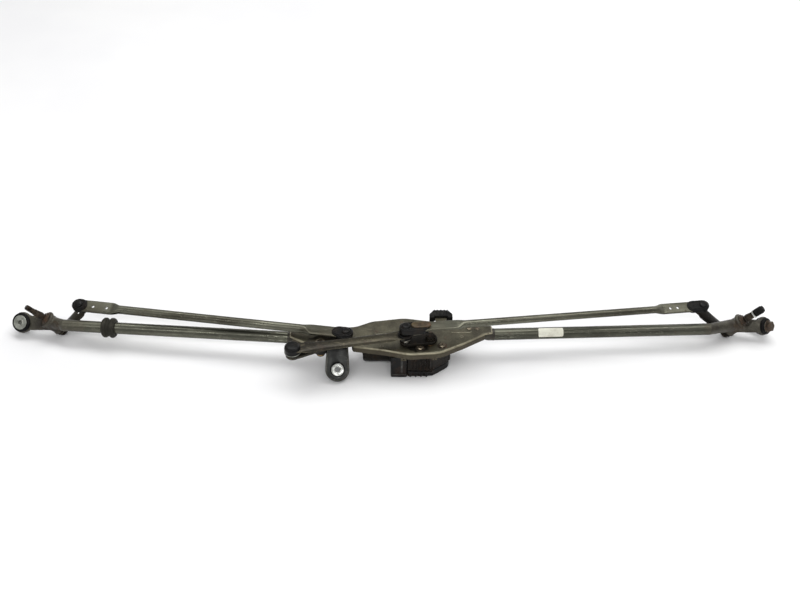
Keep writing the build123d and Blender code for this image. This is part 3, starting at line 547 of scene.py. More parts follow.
def rounded_profile(points, radius, steps=3, closed=False):
    """A profile with its corners rounded; points are (radius, height) pairs in millimetres."""
    out = []
    count = len(points)
    for i, corner in enumerate(points):
        corner = Vector(corner)
        if not closed and i in (0, count - 1):
            out.append(corner)
            continue
        before, after = Vector(points[i - 1]), Vector(points[(i + 1) % count])
        reach = min(radius, (before - corner).length * 0.45, (after - corner).length * 0.45)
        start = corner + (before - corner).normalized() * reach
        end = corner + (after - corner).normalized() * reach
        for k in range(steps + 1):
            t = k / steps
            out.append(start * (1 - t) ** 2 + corner * 2 * t * (1 - t) + end * t ** 2)
    return out


def turned(centre, axis, profile, soft=0.4, steps=56, closed=False, swell=None):
    """Surface of revolution of a profile in millimetres; swell(angle, radius, height) adds to the radius."""
    side = square_to(Vector((1, 0.1, 0)), axis)
    across = axis.cross(side)
    outline = rounded_profile(profile, soft, closed=closed) if soft else [Vector(p) for p in profile]
    rings = []
    for radius, height in outline:
        ring = []
        for k in range(steps):
            angle = 2 * pi * k / steps
            r = radius + (swell(angle, radius, height) if swell else 0)
            ring.append(centre + (side * cos(angle) + across * sin(angle)) * r * MM + axis * height * MM)
        rings.append(ring)
    if closed:
        rings.append(rings[0])
        return skinned(rings, closed_ends=False)
    return skinned(rings)


def band(inner, outer, low, high):
    """Profile of a plain ring."""
    return [(inner, low), (outer, low), (outer, high), (inner, high)]


def slot_outline(half_length, half_width, steps=12):
    """Points round a slot shape: straight sides with semicircular ends."""
    half_length = max(half_length, half_width)
    points = []
    for end in (1, -1):
        for k in range(steps + 1):
            angle = -pi / 2 + pi * k / steps
            points.append((
                end * (half_length - half_width + half_width * cos(angle)),
                end * half_width * sin(angle),
            ))
    return points


def stack(centre, along, up, layers, steps=12):
    """A slot-shaped block built up in layers: (height, half length, half width) in millimetres."""
    across = up.cross(along)
    rings = []
    for height, half_length, half_width in layers:
        outline = slot_outline(half_length, half_width, steps)
        rings.append([centre + (along * x + across * y + up * height) * MM for x, y in outline])
    return skinned(rings)


def pad_layers(low, high, half_length, half_width, bend=0.8):
    """Layers of a slot-shaped block with rounded lower and upper edges."""
    layers = []
    for level, sign in ((low + bend, -1), (high - bend, 1)):
        for k in range(4):
            angle = pi / 2 * (k if sign > 0 else 3 - k) / 3
            inset = bend * (1 - cos(angle))
            layers.append((level + sign * bend * sin(angle), half_length - inset, half_width - inset))
    return layers


def super_outline(width, height, power, steps=36):
    """Points round a superellipse: power 2 is an ellipse, larger is squarer."""
    points = []
    for k in range(steps):
        angle = 2 * pi * k / steps
        c, s = cos(angle), sin(angle)
        x = abs(c) ** (2 / power) * (1 if c >= 0 else -1)
        y = abs(s) ** (2 / power) * (1 if s >= 0 else -1)
        points.append((x * width / 2, y * height / 2))
    return points


def ease(t):
    t = min(max(t, 0), 1)
    return t * t * (3 - 2 * t)


def node_shape(name):
    """Verts and faces of a CAD node, to build on."""
    mesh = nodes[name].data
    return [v.co.copy() for v in mesh.vertices], [tuple(p.vertices) for p in mesh.polygons]


def cast_piece(name, node, material, extras=(), voxel=1.3, relax=4, lumps=0.25, sharp=60):
    """A node and what is added to it grown into one cast or moulded skin with soft edges."""
    mesh = mesh_of(name, joined(node_shape(node), *extras))
    mesh = evaluated(mesh, [
        ("WELD", {"merge_threshold": WELD_GAP}),
        ("REMESH", {"mode": "VOXEL", "voxel_size": voxel * MM}),
        ("SMOOTH", {"factor": 0.5, "iterations": relax}),
    ])
    surface = [(v.co.copy(), v.normal.copy()) for v in mesh.vertices]
    for vertex, (place, outward) in zip(mesh.vertices, surface):
        coarse = noise.noise(place * 160) + 0.5 * noise.noise(place * 420)
        vertex.co = place + outward * coarse * lumps * MM
    return finished(name, "root", material, mesh, [node], sharp)


def heights(node, origin, axis):
    """Lowest and highest point of a node along an axis, in millimetres from an origin."""
    levels = [(v.co - origin).dot(axis) / MM for v in nodes[node].data.vertices]
    return min(levels), max(levels)


def tube_ends(node):
    """Centres of the two ends of a frame tube, the left one first."""
    verts = [v.co for v in nodes[node].data.vertices]
    ends = []
    for edge, sign in ((min(v.x for v in verts), 1), (max(v.x for v in verts), -1)):
        rim = [v for v in verts if sign * (v.x - edge) < 3 * MM]
        ends.append(sum(rim, Vector()) / len(rim))
    return ends


def soften(names, width, limit=32):
    """Rounded edges on CAD nodes whose shape is right."""
    for name in names:
        weld = nodes[name].modifiers.new("weld", "WELD")
        weld.merge_threshold = WELD_GAP
        flat = nodes[name].modifiers.new("flat", "DECIMATE")
        flat.decimate_type = "DISSOLVE"
        flat.angle_limit = radians(1)
        bevel = nodes[name].modifiers.new("edges", "BEVEL")
        bevel.width = width * MM
        bevel.segments = 2
        bevel.limit_method = "ANGLE"
        bevel.angle_limit = radians(limit)
        bevel.harden_normals = True


# ================================================================ links
EYE = 10.8
LINK_THICK = 4.4
STUD_LENGTH = 15
STUD_TURN, STUD_TILT = 46, 25
LINK_HOLE = 2.6
DRILL_LEAN = Vector((0, -0.74, 0.67))


def link_rod(side, steel, rod_radius, width, outer_flat, inner_flat, holes, ribs):
    """Drawn tube with stamped ends: the section changes smoothly from round to flat."""
    length = (side.inner_ball - side.ball).length / MM
    taper = 15
    tip = [-EYE, -EYE + 0.3, -EYE + 1, -EYE + 2.4, -EYE + 4.6, -6, -3, 0]
    outer_end = tip + [outer_flat - 6 + k * (taper + 8) / 12 for k in range(13)]
    inner_end = tip + [inner_flat - 6 + k * (taper + 8) / 12 for k in range(13)]
    first, last = outer_end[-1], length - inner_end[-1]
    middle = [first + k * (last - first) / 24 for k in range(1, 24)]
    rings = []
    for s in outer_end + middle + [length - p for p in reversed(inner_end)]:
        flatness = 1 - ease(min(s - outer_flat, length - s - inner_flat) / taper)
        up = side.outer_up.lerp(side.inner_up, ease(s / length)).normalized()
        across = up.cross(side.link_dir)
        beyond = min(s, length - s, 0)
        w = 2 * rod_radius + (width - 2 * rod_radius) * flatness
        w *= sqrt(max(1 - (beyond / EYE) ** 2, 0.004))
        h = 2 * rod_radius + (LINK_THICK - 2 * rod_radius) * flatness
        centre = side.ball + side.link_dir * s * MM
        outline = super_outline(w, h, 2 + 3.5 * flatness)
        rings.append([centre + (across * x + up * y) * MM for x, y in outline])
    parts = [skinned(rings)]
    top = LINK_THICK / 2
    for place, half_length in ribs:
        centre = side.inner_ball - side.link_dir * place * MM
        layers = [(top - 0.6, half_length, 1.5), (top + 0.3, half_length, 1.5),
                  (top + 0.8, half_length - 0.4, 1.1), (top + 0.9, half_length - 0.8, 0.6)]
        parts.append(stack(centre, side.inner_up.cross(side.link_dir), side.inner_up, layers, 6))
    drill_axis = (side.outer_up + DRILL_LEAN).normalized()
    drills = [(side.ball + side.link_dir * p * MM, drill_axis, LINK_HOLE) for p in holes]
    name = f"{side.name}_link"
    piece(f"{name}_tube", name, steel, joined(*parts), [f"{name}_rod"], holes=drills)


def socket_blocks(side, width, outer_tail, inner_tail, inner_depth):
    """Moulded sockets over both stamped ends: a long block round the flat and a domed cap on it."""
    name = f"{side.name}_link"
    parts = []
    for centre, inward, up, tail, depth in (
        (side.ball, side.link_dir, side.outer_up, outer_tail, 4.6),
        (side.inner_ball, -side.link_dir, side.inner_up, inner_tail, inner_depth),
    ):
        half = width / 2 + 0.7
        middle = centre + inward * (tail - half) / 2 * MM
        reach = (tail + half) / 2 + 0.3
        parts.append(stack(middle, inward, up, pad_layers(-depth, 4.2, reach, half, 1.3)))
        raised = [(3.8, reach - 1.6, half - 1.6), (5.2, reach - 1.9, half - 1.9),
                  (5.7, reach - 2.4, half - 2.4), (5.7, reach - 3.6, half - 3.6),
                  (5.0, reach - 4.0, half - 4.0)]
        parts.append(stack(middle, inward, up, raised))
        dome = [(7.6, 4.4), (7.4, 6.4), (6.2, 7.6), (3.4, 8.2), (0.05, 8.3)]
        mouth = [(9.8, -4), (9.4, -5.6), (7.6, -6.2), (6.6, -6.2), (6.6, -4)]
        parts.append(turned(centre, up, dome, 0.6, 40))
        parts.append(turned(centre, up, mouth, 0.3, 40, True))
    piece(f"{name}_moulded_sockets", name, nylon, joined(*parts), [f"{name}_sockets"])


def amber_strip():
    """Rust-stained raised strip along the flat of the right link, beside its inner socket."""
    start, end = 9, 43
    centre = right.inner_ball - right.link_dir * (start + end) / 2 * MM
    shape = stack(centre, right.link_dir, right.inner_up, pad_layers(3.4, 7.2, (end - start) / 2, 7.4, 1.6))
    piece("right_link_rust_strip", "right_link", amber_rust, shape)


def channel_section(half, top, drop, crown, sheet):
    """Half-open channel section: a crowned web with turned-down edges."""
    return [
        (-half, top - 1.0 - drop), (-half, top - 1.0), (-half + 0.4, top - 0.3), (-half + 1.1, top),
        (-half * 0.5, top + crown * 0.7), (0, top + crown), (half * 0.5, top + crown * 0.7),
        (half - 1.1, top), (half - 0.4, top - 0.3), (half, top - 1.0), (half, top - 1.0 - drop),
        (half - sheet, top - 1.0 - drop), (half - sheet, top - sheet - 0.2), (0, top - sheet + crown),
        (-half + sheet, top - sheet - 0.2), (-half + sheet, top - 1.0 - drop),
    ]


def short_link():
    """Pressed strap between rocker and crank: broad at the rocker, with turned-down edges."""
    start, end = rocker_front_ball, crank_low_ball
    along = (end - start).normalized()
    up = square_to(UP, along)
    across = up.cross(along)
    length = (end - start).length / MM
    eye = 12.6
    tip = [-eye, -eye + 0.3, -eye + 1, -eye + 2.6, -eye + 5, -4]
    stations = tip + [length * k / 36 for k in range(37)] + [length - p for p in reversed(tip)]
    rings = []
    for s in stations:
        beyond = min(s, length - s, 0)
        half = eye - 3.6 * ease(s / 55) + 2.8 * ease((s - length + 34) / 30)
        half *= sqrt(max(1 - (beyond / eye) ** 2, 0.01))
        drop = 4.2 * ease((s - 13) / 14) * ease((length - 15 - s) / 12)
        outline = channel_section(max(half, 1.8), 1.8, drop, 0.22 * drop, 1.7)
        rings.append([start + (along * s + across * x + up * y) * MM for x, y in outline])
    piece("short_link_strap", "short_link", strap_steel, skinned(rings), ["short_link_bar"], 40)

    disc = [(7.7, -6.2), (12.2, -5.8), (13.2, -4.6), (13.4, 3.4), (12.4, 6.2), (9.6, 8.0)]
    disc += [(4, 8.6), (0.05, 8.6)]
    cavity = [(0.05, 7.5), (3, 6.9), (5.4, 5.1), (7.1, 2.2), (7.45, 0), (7.1, -2.2), (6.5, -3.6)]
    cavity += [(6.4, -5.2)]
    piece("short_link_cap", "short_link", nylon,
          turned(start, up, disc + cavity, 0.6, 56, True), ["short_link_outer_socket"])
    rim = turned(start, up, [(13.0, -6.0), (14.0, -6.0), (14.0, -4.9), (13.0, -4.9)], 0.25, 56, True)
    piece("short_link_rim", "short_link", dull_plate, rim)


# ================================================================ levers, spindles and mounts
def stud_axis(side):
    """Axis of the lever's ball stud, which leans towards the socket."""
    lean = square_to(side.outer_up, side.axis)
    lean = Matrix.Rotation(radians(side.out * STUD_TURN), 3, side.axis) @ lean
    return side.axis * cos(radians(STUD_TILT)) + lean * sin(radians(STUD_TILT))


def lever(side, material):
    """Forged and pressed lever: a thick hub, a channel-shaped arm and a round pad at the stud."""
    stud = stud_axis(side)
    hub = side.at(5.5)
    pad = side.ball - stud * STUD_LENGTH * MM
    along = (pad - hub).normalized()
    length = (pad - hub).length / MM
    hub_across = side.axis.cross(square_to(pad - hub, side.axis))
    pad_across = stud.cross(along).normalized()
    tip = [-11.6, -11.2, -10.2, -8.4, -5]
    stations = tip + [length * k / 24 for k in range(25)] + [length - 0.82 * p for p in reversed(tip)]
    rings = []
    for s in stations:
        t = s / length
        across = hub_across.lerp(pad_across, ease(t)).normalized()
        up = square_to(side.axis.lerp(stud, ease(t)), across)
        forward = across.cross(up).normalized()
        reach = 12 if s < length / 2 else 9.8
        beyond = max(-s, s - length, 0)
        half = (12 - 2.4 * ease(t * 2.2)) * sqrt(max(1 - (beyond / reach) ** 2, 0.01))
        drop = 3.6 * ease((t - 0.3) / 0.15) * ease((0.92 - t) / 0.12)
        base = hub.lerp(pad, min(max(t, 0), 1)) + forward * (min(s, 0) + max(s - length, 0)) * MM
        outline = channel_section(max(half, 2.2), 2.6, drop + 1.6, 0.6, 2.0)
        rings.append([base + (across * x + up * y) * MM for x, y in outline])
    parts = [skinned(rings)]
    parts.append(turned(side.foot, side.axis, [(8.6, 7.4), (8.2, 8.3), (5.6, 8.3)], 0.3, 40))
    parts.append(turned(pad, stud, [(7.4, 2.0), (7.2, 3.6), (5.4, 4.2), (4.1, 4.2)], 0.3, 40))
    holes = [(side.ball - stud * STUD_LENGTH * MM - along * 15 * MM, stud, 2.3)] if side is left else []
    piece(f"{side.name}_lever_arm", f"{side.name}_spindle", material, joined(*parts),
          [f"{side.name}_lever"], 40, holes)


def lever_nub():
    """Small grey tab that stands up from the edge of the right lever."""
    stud = stud_axis(right)
    pad = right.ball - stud * STUD_LENGTH * MM
    along = (right.at(5.5) - pad).normalized()
    across = stud.cross(along).normalized()
    if across.y < 0:
        across = -across
    place = pad + along * 16 * MM + across * 8 * MM
    rise = (across + stud * 0.35).normalized()
    profile = [(3.8, -1), (4.0, 4.4), (3.4, 5.6), (2.4, 6), (2.2, 9.6), (1.5, 10.6), (0.05, 10.8)]
    shape = turned(place, rise, profile, 0.4, 24)
    piece("right_lever_tab", "right_spindle", dull_plate, shape)


def spindle(side, top):
    """Shaft with its foot, a knurled cone and a thread whose ridges are real."""
    def knurl(angle, radius, height):
        inside = ease((height - cone) / 1.5) * ease((thread - 1 - height) / 1.5)
        return -0.45 * inside * (0.5 - 0.5 * cos(24 * angle))

    cone = top - 33
    thread = top - 16.5
    profile = [(0.05, 0), (9, 0), (10.4, 1.2), (10.4, 2.4), (9.4, 2.95), (5.5, 3.0), (5.5, cone - 5.6),
               (5, cone - 5.5), (5, cone - 4.3), (5.5, cone - 4.2), (5.5, cone - 1), (6.6, cone)]
    profile += [(6.6 - 1.4 * k / 6, cone + 3 + k * (thread - cone - 3.5) / 6) for k in range(7)]
    pitch = 1.25
    turns = int((top - 1.5 - thread) / pitch)
    for k in range(turns):
        foot = thread + k * pitch
        profile += [(4.1, foot + 0.15), (4.8, foot + pitch / 2), (4.1, foot + pitch - 0.1)]
    profile += [(4.6, top - 1.3), (3.6, top), (0.05, top)]
    shape = turned(side.foot, side.axis, profile, 0, 96, swell=knurl)
    piece(f"{side.name}_spindle_shaft", f"{side.name}_spindle", spindle_steel, shape,
          [f"{side.name}_spindle"], 30)
    underside = [(9.6, -1.4), (9.8, 0.2), (8.4, 1.4), (4.5, 2.2), (0.05, 2.4)]
    dome = turned(side.foot, -side.axis, underside, 0.5, 40)
    piece(f"{side.name}_foot_cap", f"{side.name}_spindle", black_steel, dome)


def washers(side, top):
    """Thrust washers, dirt seal and circlip at the barrel's ends; they turn with the spindle."""
    rings = (
        (band(5.6, 10.5, 8.5, 9.8), 0.2),
        (band(5.6, 11.8, top + 0.1, top + 1.9), 0.35),
        ([(5.6, top + 2), (10, top + 2), (9.6, top + 3.3), (5.6, top + 3.3)], 0.3),
        (band(5.1, 8.8, top + 3.5, top + 4.7), 0.2),
    )
    shape = joined(*(turned(side.foot, side.axis, profile, soft, 48, True) for profile, soft in rings))
    body = f"{side.name}_spindle"
    piece(f"{body}_washers", body, washer_steel, shape, [f"{body}_clips"])


def tip_cap():
    """Ribbed rubber cap on the thread of the right spindle, over a bright ring."""
    low = spindle_top - 15.5
    profile = [(4.95, low), (6.4, low), (6.6, low + 1.6)]
    for k in range(5):
        foot = low + 2.2 + k * 2.5
        profile += [(6.2, foot), (6.9, foot + 0.5), (6.9, foot + 1.5), (6.2, foot + 2)]
    profile += [(5.8, spindle_top + 1.2), (4.2, spindle_top + 2), (0.05, spindle_top + 2.2)]
    cap = turned(right.foot, right.axis, profile, 0.35, 48)
    piece("right_spindle_cap", "right_spindle", rubber, cap, sharp=40)
    ring = turned(right.foot, right.axis, band(5.3, 7.1, low - 2.6, low - 0.4), 0.3, 48, True)
    piece("right_spindle_ring", "right_spindle", bright_plate, ring)


def grommet(name, node, centre, axis, outer, hole, low, high, lip, ribs):
    """Rubber spool with concentric ribs on its faces and a waist in the hole."""
    foot, top = low - lip, high + lip
    step = (outer - 8.6) / ribs
    starts = [7.6 + k * (outer - 8.6) / ribs for k in range(ribs)]
    profile = [(6.6, foot)]
    for r in starts:
        profile += [(r, foot), (r + step * 0.3, foot - 0.7)]
        profile += [(r + step * 0.6, foot - 0.7), (r + step * 0.8, foot)]
    profile += [
        (outer - 0.6, foot + 0.2), (outer, foot + 1), (outer, low - lip / 2 - 0.5),
        (outer - 1.2, low - lip / 2), (outer, low - lip / 2 + 0.5), (outer, low - 0.1),
        (hole - 0.1, low - 0.1), (hole - 0.1, high + 0.1), (outer, high + 0.1),
        (outer, high + lip / 2 - 0.5), (outer - 1.2, high + lip / 2), (outer, high + lip / 2 + 0.5),
        (outer, top - 1), (outer - 0.6, top - 0.2),
    ]
    for r in reversed(starts):
        profile += [(r + step * 0.8, top), (r + step * 0.6, top + 0.7)]
        profile += [(r + step * 0.3, top + 0.7), (r, top)]
    profile += [(6.6, top)]
    piece(name, "root", rubber, turned(centre, axis, profile, 0.3, 64, True), [node], 40)


def sleeve(name, node, centre, axis, flange, low, high, material, star=0.0):
    """Flanged steel sleeve: rolled rim, dished face and a chamfered bore."""
    def rolled(angle, radius, height):
        if star and radius < 6.4 and height > high - 1:
            return star * (0.5 + 0.5 * cos(6 * angle))
        return 0

    face = high + 1.6
    profile = [(4.25, low), (6.5, low), (6.5, high), (flange - 0.6, high), (flange, high + 0.5),
               (flange, high + 1.2), (flange - 0.9, face + 0.35), (flange - 2.2, face - 0.25),
               (6.6, face - 0.35), (5.6, face + 0.3), (4.9, face + 0.2), (4.25, face - 0.6)]
    shape = turned(centre, axis, profile, 0.25, 72, True, rolled)
    piece(name, "root", material, shape, [node], 30)


def bolt_head():
    """Rusty flanged hex bolt in the right mount, with a threaded shank."""
    seat = 10.3
    flange = [(4.1, seat), (11, seat), (11.2, seat + 0.9), (9.4, seat + 2.1), (7, seat + 2.6)]
    flange += [(0.05, seat + 2.6)]
    hexagon = [(9, seat + 1.4), (9.6, seat + 2.4), (9.6, seat + 6.8), (8.6, seat + 7.9), (0.05, seat + 8)]
    crown = [(7.3, seat + 7.2), (7.1, seat + 8.2), (5.4, seat + 8.6), (5.0, seat + 8.0), (0.05, seat + 8.0)]
    shank = [(0.05, -24), (3.2, -24), (4.0, -23.2)]
    shank += [point for k in range(9) for point in ((4.0, -23 + 1.3 * k), (3.45, -22.4 + 1.3 * k))]
    shank += [(3.4, -11), (3.4, -9.9), (4.2, -9.8), (4.2, seat)]
    turns = ((flange, 0.4, 48), (hexagon, 0, 6), (crown, 0.3, 40), (shank, 0, 40))
    shape = joined(*(turned(right.mount, right.mount_axis, *turn) for turn in turns))
    piece("right_mount_hex_bolt", "root", rusty_bolt, shape, ["right_mount_bolt"], 25)


def rib_between(start, end, up, thick, depth):
    """A straight web from one point to another, for a casting."""
    along = (end - start).normalized()
    across = up.cross(along).normalized()
    rings = []
    for point, high in ((start, depth), (end, depth * 0.7)):
        rings.append([point + (across * x + up * y) * MM for x, y in (
            (-thick / 2, -high / 2), (thick / 2, -high / 2), (thick / 2, high / 2), (-thick / 2, high / 2))])
    return skinned(rings)


def housing(side, ear):
    """Cast housing: the CAD's barrel, neck and ear with boss rings and two gussets."""
    boss = [(8.2, barrel_top - 6), (14.6, barrel_top - 6), (15.2, barrel_top - 3),
            (14.6, barrel_top - 0.6), (8.2, barrel_top - 0.6)]
    rim = [(ear - 6.6, -3.4), (ear + 0.6, -3.4), (ear + 1.2, 0), (ear + 0.6, 3.4), (ear - 6.6, 3.4)]
    neck = side.at(33)
    lug = side.mount + (neck - side.mount).normalized() * (ear - 3) * MM
    tube_side = side.at(20) - side.axis * 4 * MM + side.link_dir * 26 * MM
    extras = [
        turned(side.foot, side.axis, boss, 0, 40, True),
        turned(side.foot, side.axis, band(8.2, 13.6, 10, 13), 0, 40, True),
        turned(side.mount, side.mount_axis, rim, 0, 48, True),
        rib_between(neck, lug, side.axis, 5, 12),
        rib_between(side.at(36), tube_side, side.axis, 4, 8),
    ]
    name = f"{side.name}_housing_casting"
    cast_piece(name, f"{side.name}_pivot_housing", casting, extras, 1.25, 4, 0.3)


# ================================================================ tubes, plate and motor
def collar():
    """Rubber collar with two rounded ribs on the left tube."""
    low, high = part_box("tube_collar")
    half = [(0, 15), (2.2, 15), (3.4, 16.9), (5.2, 17.6), (8, 17.4), (9.6, 16.6)]
    half += [(10.4, 15), (11.5, 14.6), (11.5, 10.3)]
    profile = [(r, -h) for h, r in reversed(half)] + [(r, h) for h, r in half[1:]]
    shape = turned((low + high) / 2, tube_dir["left"], profile, 0.5, 56, True)
    piece("left_tube_collar", "root", collar_rubber, shape, ["tube_collar"], 40)


def label():
    """Blank sticker on the right tube, with rounded corners, wrapped over the tube's front."""
    along = tube_dir["right"]
    middle = tube_mid["right"]
    centre = middle + along * ((STICKER_X - middle.x) / along.x)
    toward = square_to(Vector((0, -0.66, 0.75)), along)
    side = toward.cross(along)
    rows, columns = 14, 24
    half_length, half_angle, radius = 21.5, radians(46), 10.42
    verts, faces = [], []
    for lift in (0, 0.12):
        for i in range(rows + 1):
            for j in range(columns + 1):
                u, v = 2 * j / columns - 1, 2 * i / rows - 1
                pull = 1 - 0.04 * max(abs(v) - 0.7, 0) / 0.3 * max(abs(u) - 0.9, 0) / 0.1
                angle = v * half_angle * pull
                r = radius + lift + 0.05 * noise.noise(Vector((u * 3, v * 2, 1)))
                place = centre + along * u * half_length * pull * MM
                verts.append(place + (toward * cos(angle) + side * sin(angle)) * r * MM)
    base = (rows + 1) * (columns + 1)
    for i in range(rows):
        for j in range(columns):
            a = i * (columns + 1) + j
            quad = (a, a + 1, a + columns + 2, a + columns + 1)
            faces.append(tuple(reversed(quad)))
            faces.append(tuple(k + base for k in quad))
    border = list(range(columns + 1)) + [i * (columns + 1) + columns for i in range(1, rows + 1)]
    border += [rows * (columns + 1) + j for j in reversed(range(columns))]
    border += [i * (columns + 1) for i in reversed(range(1, rows))]
    for a, b in zip(border, border[1:] + border[:1]):
        faces.append((a, b, b + base, a + base))
    piece("blank_sticker", "root", sticker, (verts, faces), sharp=60)


def spigot(name, inner_end):
    """Cast spigot with a full round neck between the tube's end and the plate."""
    ends = tube_axes[name]
    inner = ends[inner_end]
    along = (ends[1 - inner_end] - inner).normalized()
    profile = [(0.05, -18), (8.2, -18), (10.2, -12), (10.5, -1), (10.5, 1.5), (0.05, 1.5)]
    neck = turned(inner, along, profile, 0, 40)
    cast_piece(f"{name}_spigot_casting", f"{name}_tube_spigot", casting, [neck], 1.2, 3, 0.2)


def tab_rim():
    """Raised bead round the U-shaped face of the centre bracket, in a lighter steel than the bracket: a painted
    highlight along the rim.
    """
    half, rise, inset, thick = 20.5, 41, 2.0, 1.25
    across = square_to(Vector((1, 0, 0)), centre_mount_axis)
    up = centre_mount_axis.cross(across)
    path = [(-half + inset + 2.3 * (1 - k / 8), rise * (1 - k / 8)) for k in range(8)]
    path += [((half - inset) * -cos(pi * k / 24), -(half - inset) * sin(pi * k / 24)) for k in range(25)]
    path += [(half - inset - 2.3 * k / 8, rise * k / 8) for k in range(1, 9)]
    points = [centre_mount + (across * x + up * y) * MM for x, y in path]
    rings = []
    for k, point in enumerate(points):
        way = (points[min(k + 1, len(points) - 1)] - points[max(k - 1, 0)]).normalized()
        beside = way.cross(centre_mount_axis).normalized()
        rings.append([
            point + (beside * cos(2 * pi * i / 12) + way.cross(beside) * sin(2 * pi * i / 12)) * thick * MM
            for i in range(12)
        ])
    piece("bracket_rim", "root", rim_steel, skinned(rings), sharp=50)


def crimps():
    """Lips round the two pressed marks near each frame tube's inner end, and a rivet's head."""
    parts = []
    for name, inner_end in (("left", 1), ("right", 0)):
        ends = tube_axes[name]
        inner = ends[inner_end]
        along = (ends[1 - inner_end] - inner).normalized()
        toward = square_to(Vector((0, -0.92, 0.4)), along)
        for place in (11, 28):
            centre = inner + along * place * MM + toward * 9.5 * MM
            layers = [(0, 7.6, 4.2), (1.0, 7.6, 4.2), (1.35, 7.2, 3.8), (1.35, 6.4, 3.0)]
            layers += [(0.9, 6.0, 2.6), (0.9, 2, 0.6)]
            parts.append(stack(centre, along, toward, layers, 8))
        rivet = inner + along * 39 * MM
        head = [(2.4, 9.6), (2.3, 10.7), (1.6, 11.2), (0.05, 11.3)]
        parts.append(turned(rivet, square_to(Vector((0, -0.7, 0.7)), along), head, 0.3, 24))
    piece("tube_crimps", "root", tube_steel, joined(*parts), sharp=50)


def gear_case():
    """Cast gearcase with ribs between two bars on its front, and three screw bosses."""
    low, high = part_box("gear_housing")
    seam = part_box("gear_cover")[1].z
    front = low.y
    parts = []
    for k in range(7):
        x = low.x + (33 + 5.2 * k) * MM
        parts.append(block(Vector((x, front - 0.6 * MM, seam + 16 * MM)), (1.5, 3.4, 29)))
    parts.append(block(Vector((low.x + 50 * MM, front - 0.5 * MM, seam + 3.4 * MM)), (40, 3.6, 2.2)))
    parts.append(block(Vector((low.x + 50 * MM, front - 0.4 * MM, seam + 33 * MM)), (40, 3.2, 2)))
    for x, y in ((0.5, 0.98), (0.98, 0.4), (0.86, 0.86)):
        place = Vector((low.x + (high.x - low.x) * x, low.y + (high.y - low.y) * y, seam))
        parts.append(turned(place, UP, [(0.05, 1), (4.4, 1), (4.2, 22), (3.4, 26), (0.05, 27)], 0, 24))
    cast_piece("gearcase_casting", "gear_housing", case_metal, parts, 1.3, 3, 0.18)


def block(centre, size):
    """A plain box as material for a casting or a moulding."""
    x, y, z = (s / 2 * MM for s in size)
    corners = ((-1, -1), (1, -1), (1, 1), (-1, 1))
    return skinned([[centre + Vector((a * x, b * y, c * z)) for a, b in corners] for c in (-1, 1)])


def cover():
    """Moulded gear cover: the CAD's pan with four ribs and a bar on its front."""
    low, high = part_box("gear_cover")
    parts = []
    for k in range(4):
        x = low.x + (31 + 9 * k) * MM
        parts.append(block(Vector((x, low.y + 1.6 * MM, low.z + 7.5 * MM)), (2.4, 3.2, 11)))
    parts.append(block(Vector((low.x + 47 * MM, low.y + 2.2 * MM, high.z - 2.0 * MM)), (44, 3.2, 2.4)))
    cast_piece("gear_cover_moulding", "gear_cover", cover_plastic, parts, 1.2, 3, 0.06)


def connector_lip():
    """Moulded line and latch rib on the connector's front wall, in a lighter, glossier plastic: a painted
    highlight.
    """
    low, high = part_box("motor_connector")
    middle = (low + high) / 2
    front = Vector((0, -1, 0))
    line = Vector((middle.x, low.y + 0.2 * MM, low.z + 5.5 * MM))
    latch = Vector((middle.x + 5 * MM, low.y + 0.2 * MM, low.z + 24 * MM))
    parts = [
        stack(line, Vector((1, 0, 0)), front, [(-0.5, 12.2, 1.1), (0.5, 12.2, 1.1), (0.9, 11.8, 0.6)], 6),
        stack(latch, UP, front, [(-0.5, 14, 1.6), (0.5, 14, 1.6), (1.0, 13.4, 1.0)], 6),
    ]
    piece("connector_ribs", "root", seam_plastic, joined(*parts), sharp=40)


def can_trim():
    """End boss, rolled rim and a raised band of the motor can."""
    low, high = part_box("motor_can")
    axis = Vector((-1, 0, 0))
    end = Vector((low.x, (low.y + high.y) / 2, (low.z + high.z) / 2))
    boss = [(9.5, -0.4), (9.2, 1.2), (7.6, 1.9), (7.2, 4.2), (6, 4.8), (3.4, 4.6), (0.05, 4.4)]
    parts = [
        turned(end, axis, boss, 0.5, 40),
        turned(end, axis, [(21.9, -49.6), (23.2, -49.2), (23.2, -46.4), (21.9, -46)], 0.4, 64, True),
        turned(end, axis, [(21.9, -13), (22.5, -12.6), (22.5, -10.4), (21.9, -10)], 0.3, 64, True),
    ]
    piece("motor_can_trim", "root", black_steel, joined(*parts), sharp=40)


def plate_details():
    """Beads pressed in the plate, a rim at the rocker's bearing, and plugs that close its two holes."""
    parts = [
        stack(Vector((0.004, -0.012, plate_top)), Vector((1, 0.06, 0)).normalized(), UP,
              [(-0.6, 34, 3.2), (0.3, 34, 3.2), (0.8, 33.2, 2.4), (0.95, 32, 1.2)], 10),
        stack(Vector((0.118, -0.010, plate_top)), Vector((1, 0.02, 0)).normalized(), UP,
              [(-0.6, 17, 2.8), (0.3, 17, 2.8), (0.75, 16.4, 2.1), (0.9, 15.4, 1.0)], 10),
        turned(Vector((rocker_axis.x, rocker_axis.y, plate_top)), UP,
               [(11.6, -0.3), (15.0, -0.3), (14.2, 0.7), (12.4, 0.9), (11.6, 0.6)], 0.2, 56, True),
    ]
    for x, y in ((-0.018, -0.046), (0.118, -0.022)):
        plug = [(0.05, -1.2), (3.2, -1.2), (3.2, 0.3), (2.4, 0.7), (1.2, 0.2), (0.05, 0.1)]
        parts.append(turned(Vector((x, y, plate_top)), UP, plug, 0.2, 24))
    piece("plate_beads", "root", plate_steel, joined(*parts), sharp=50)


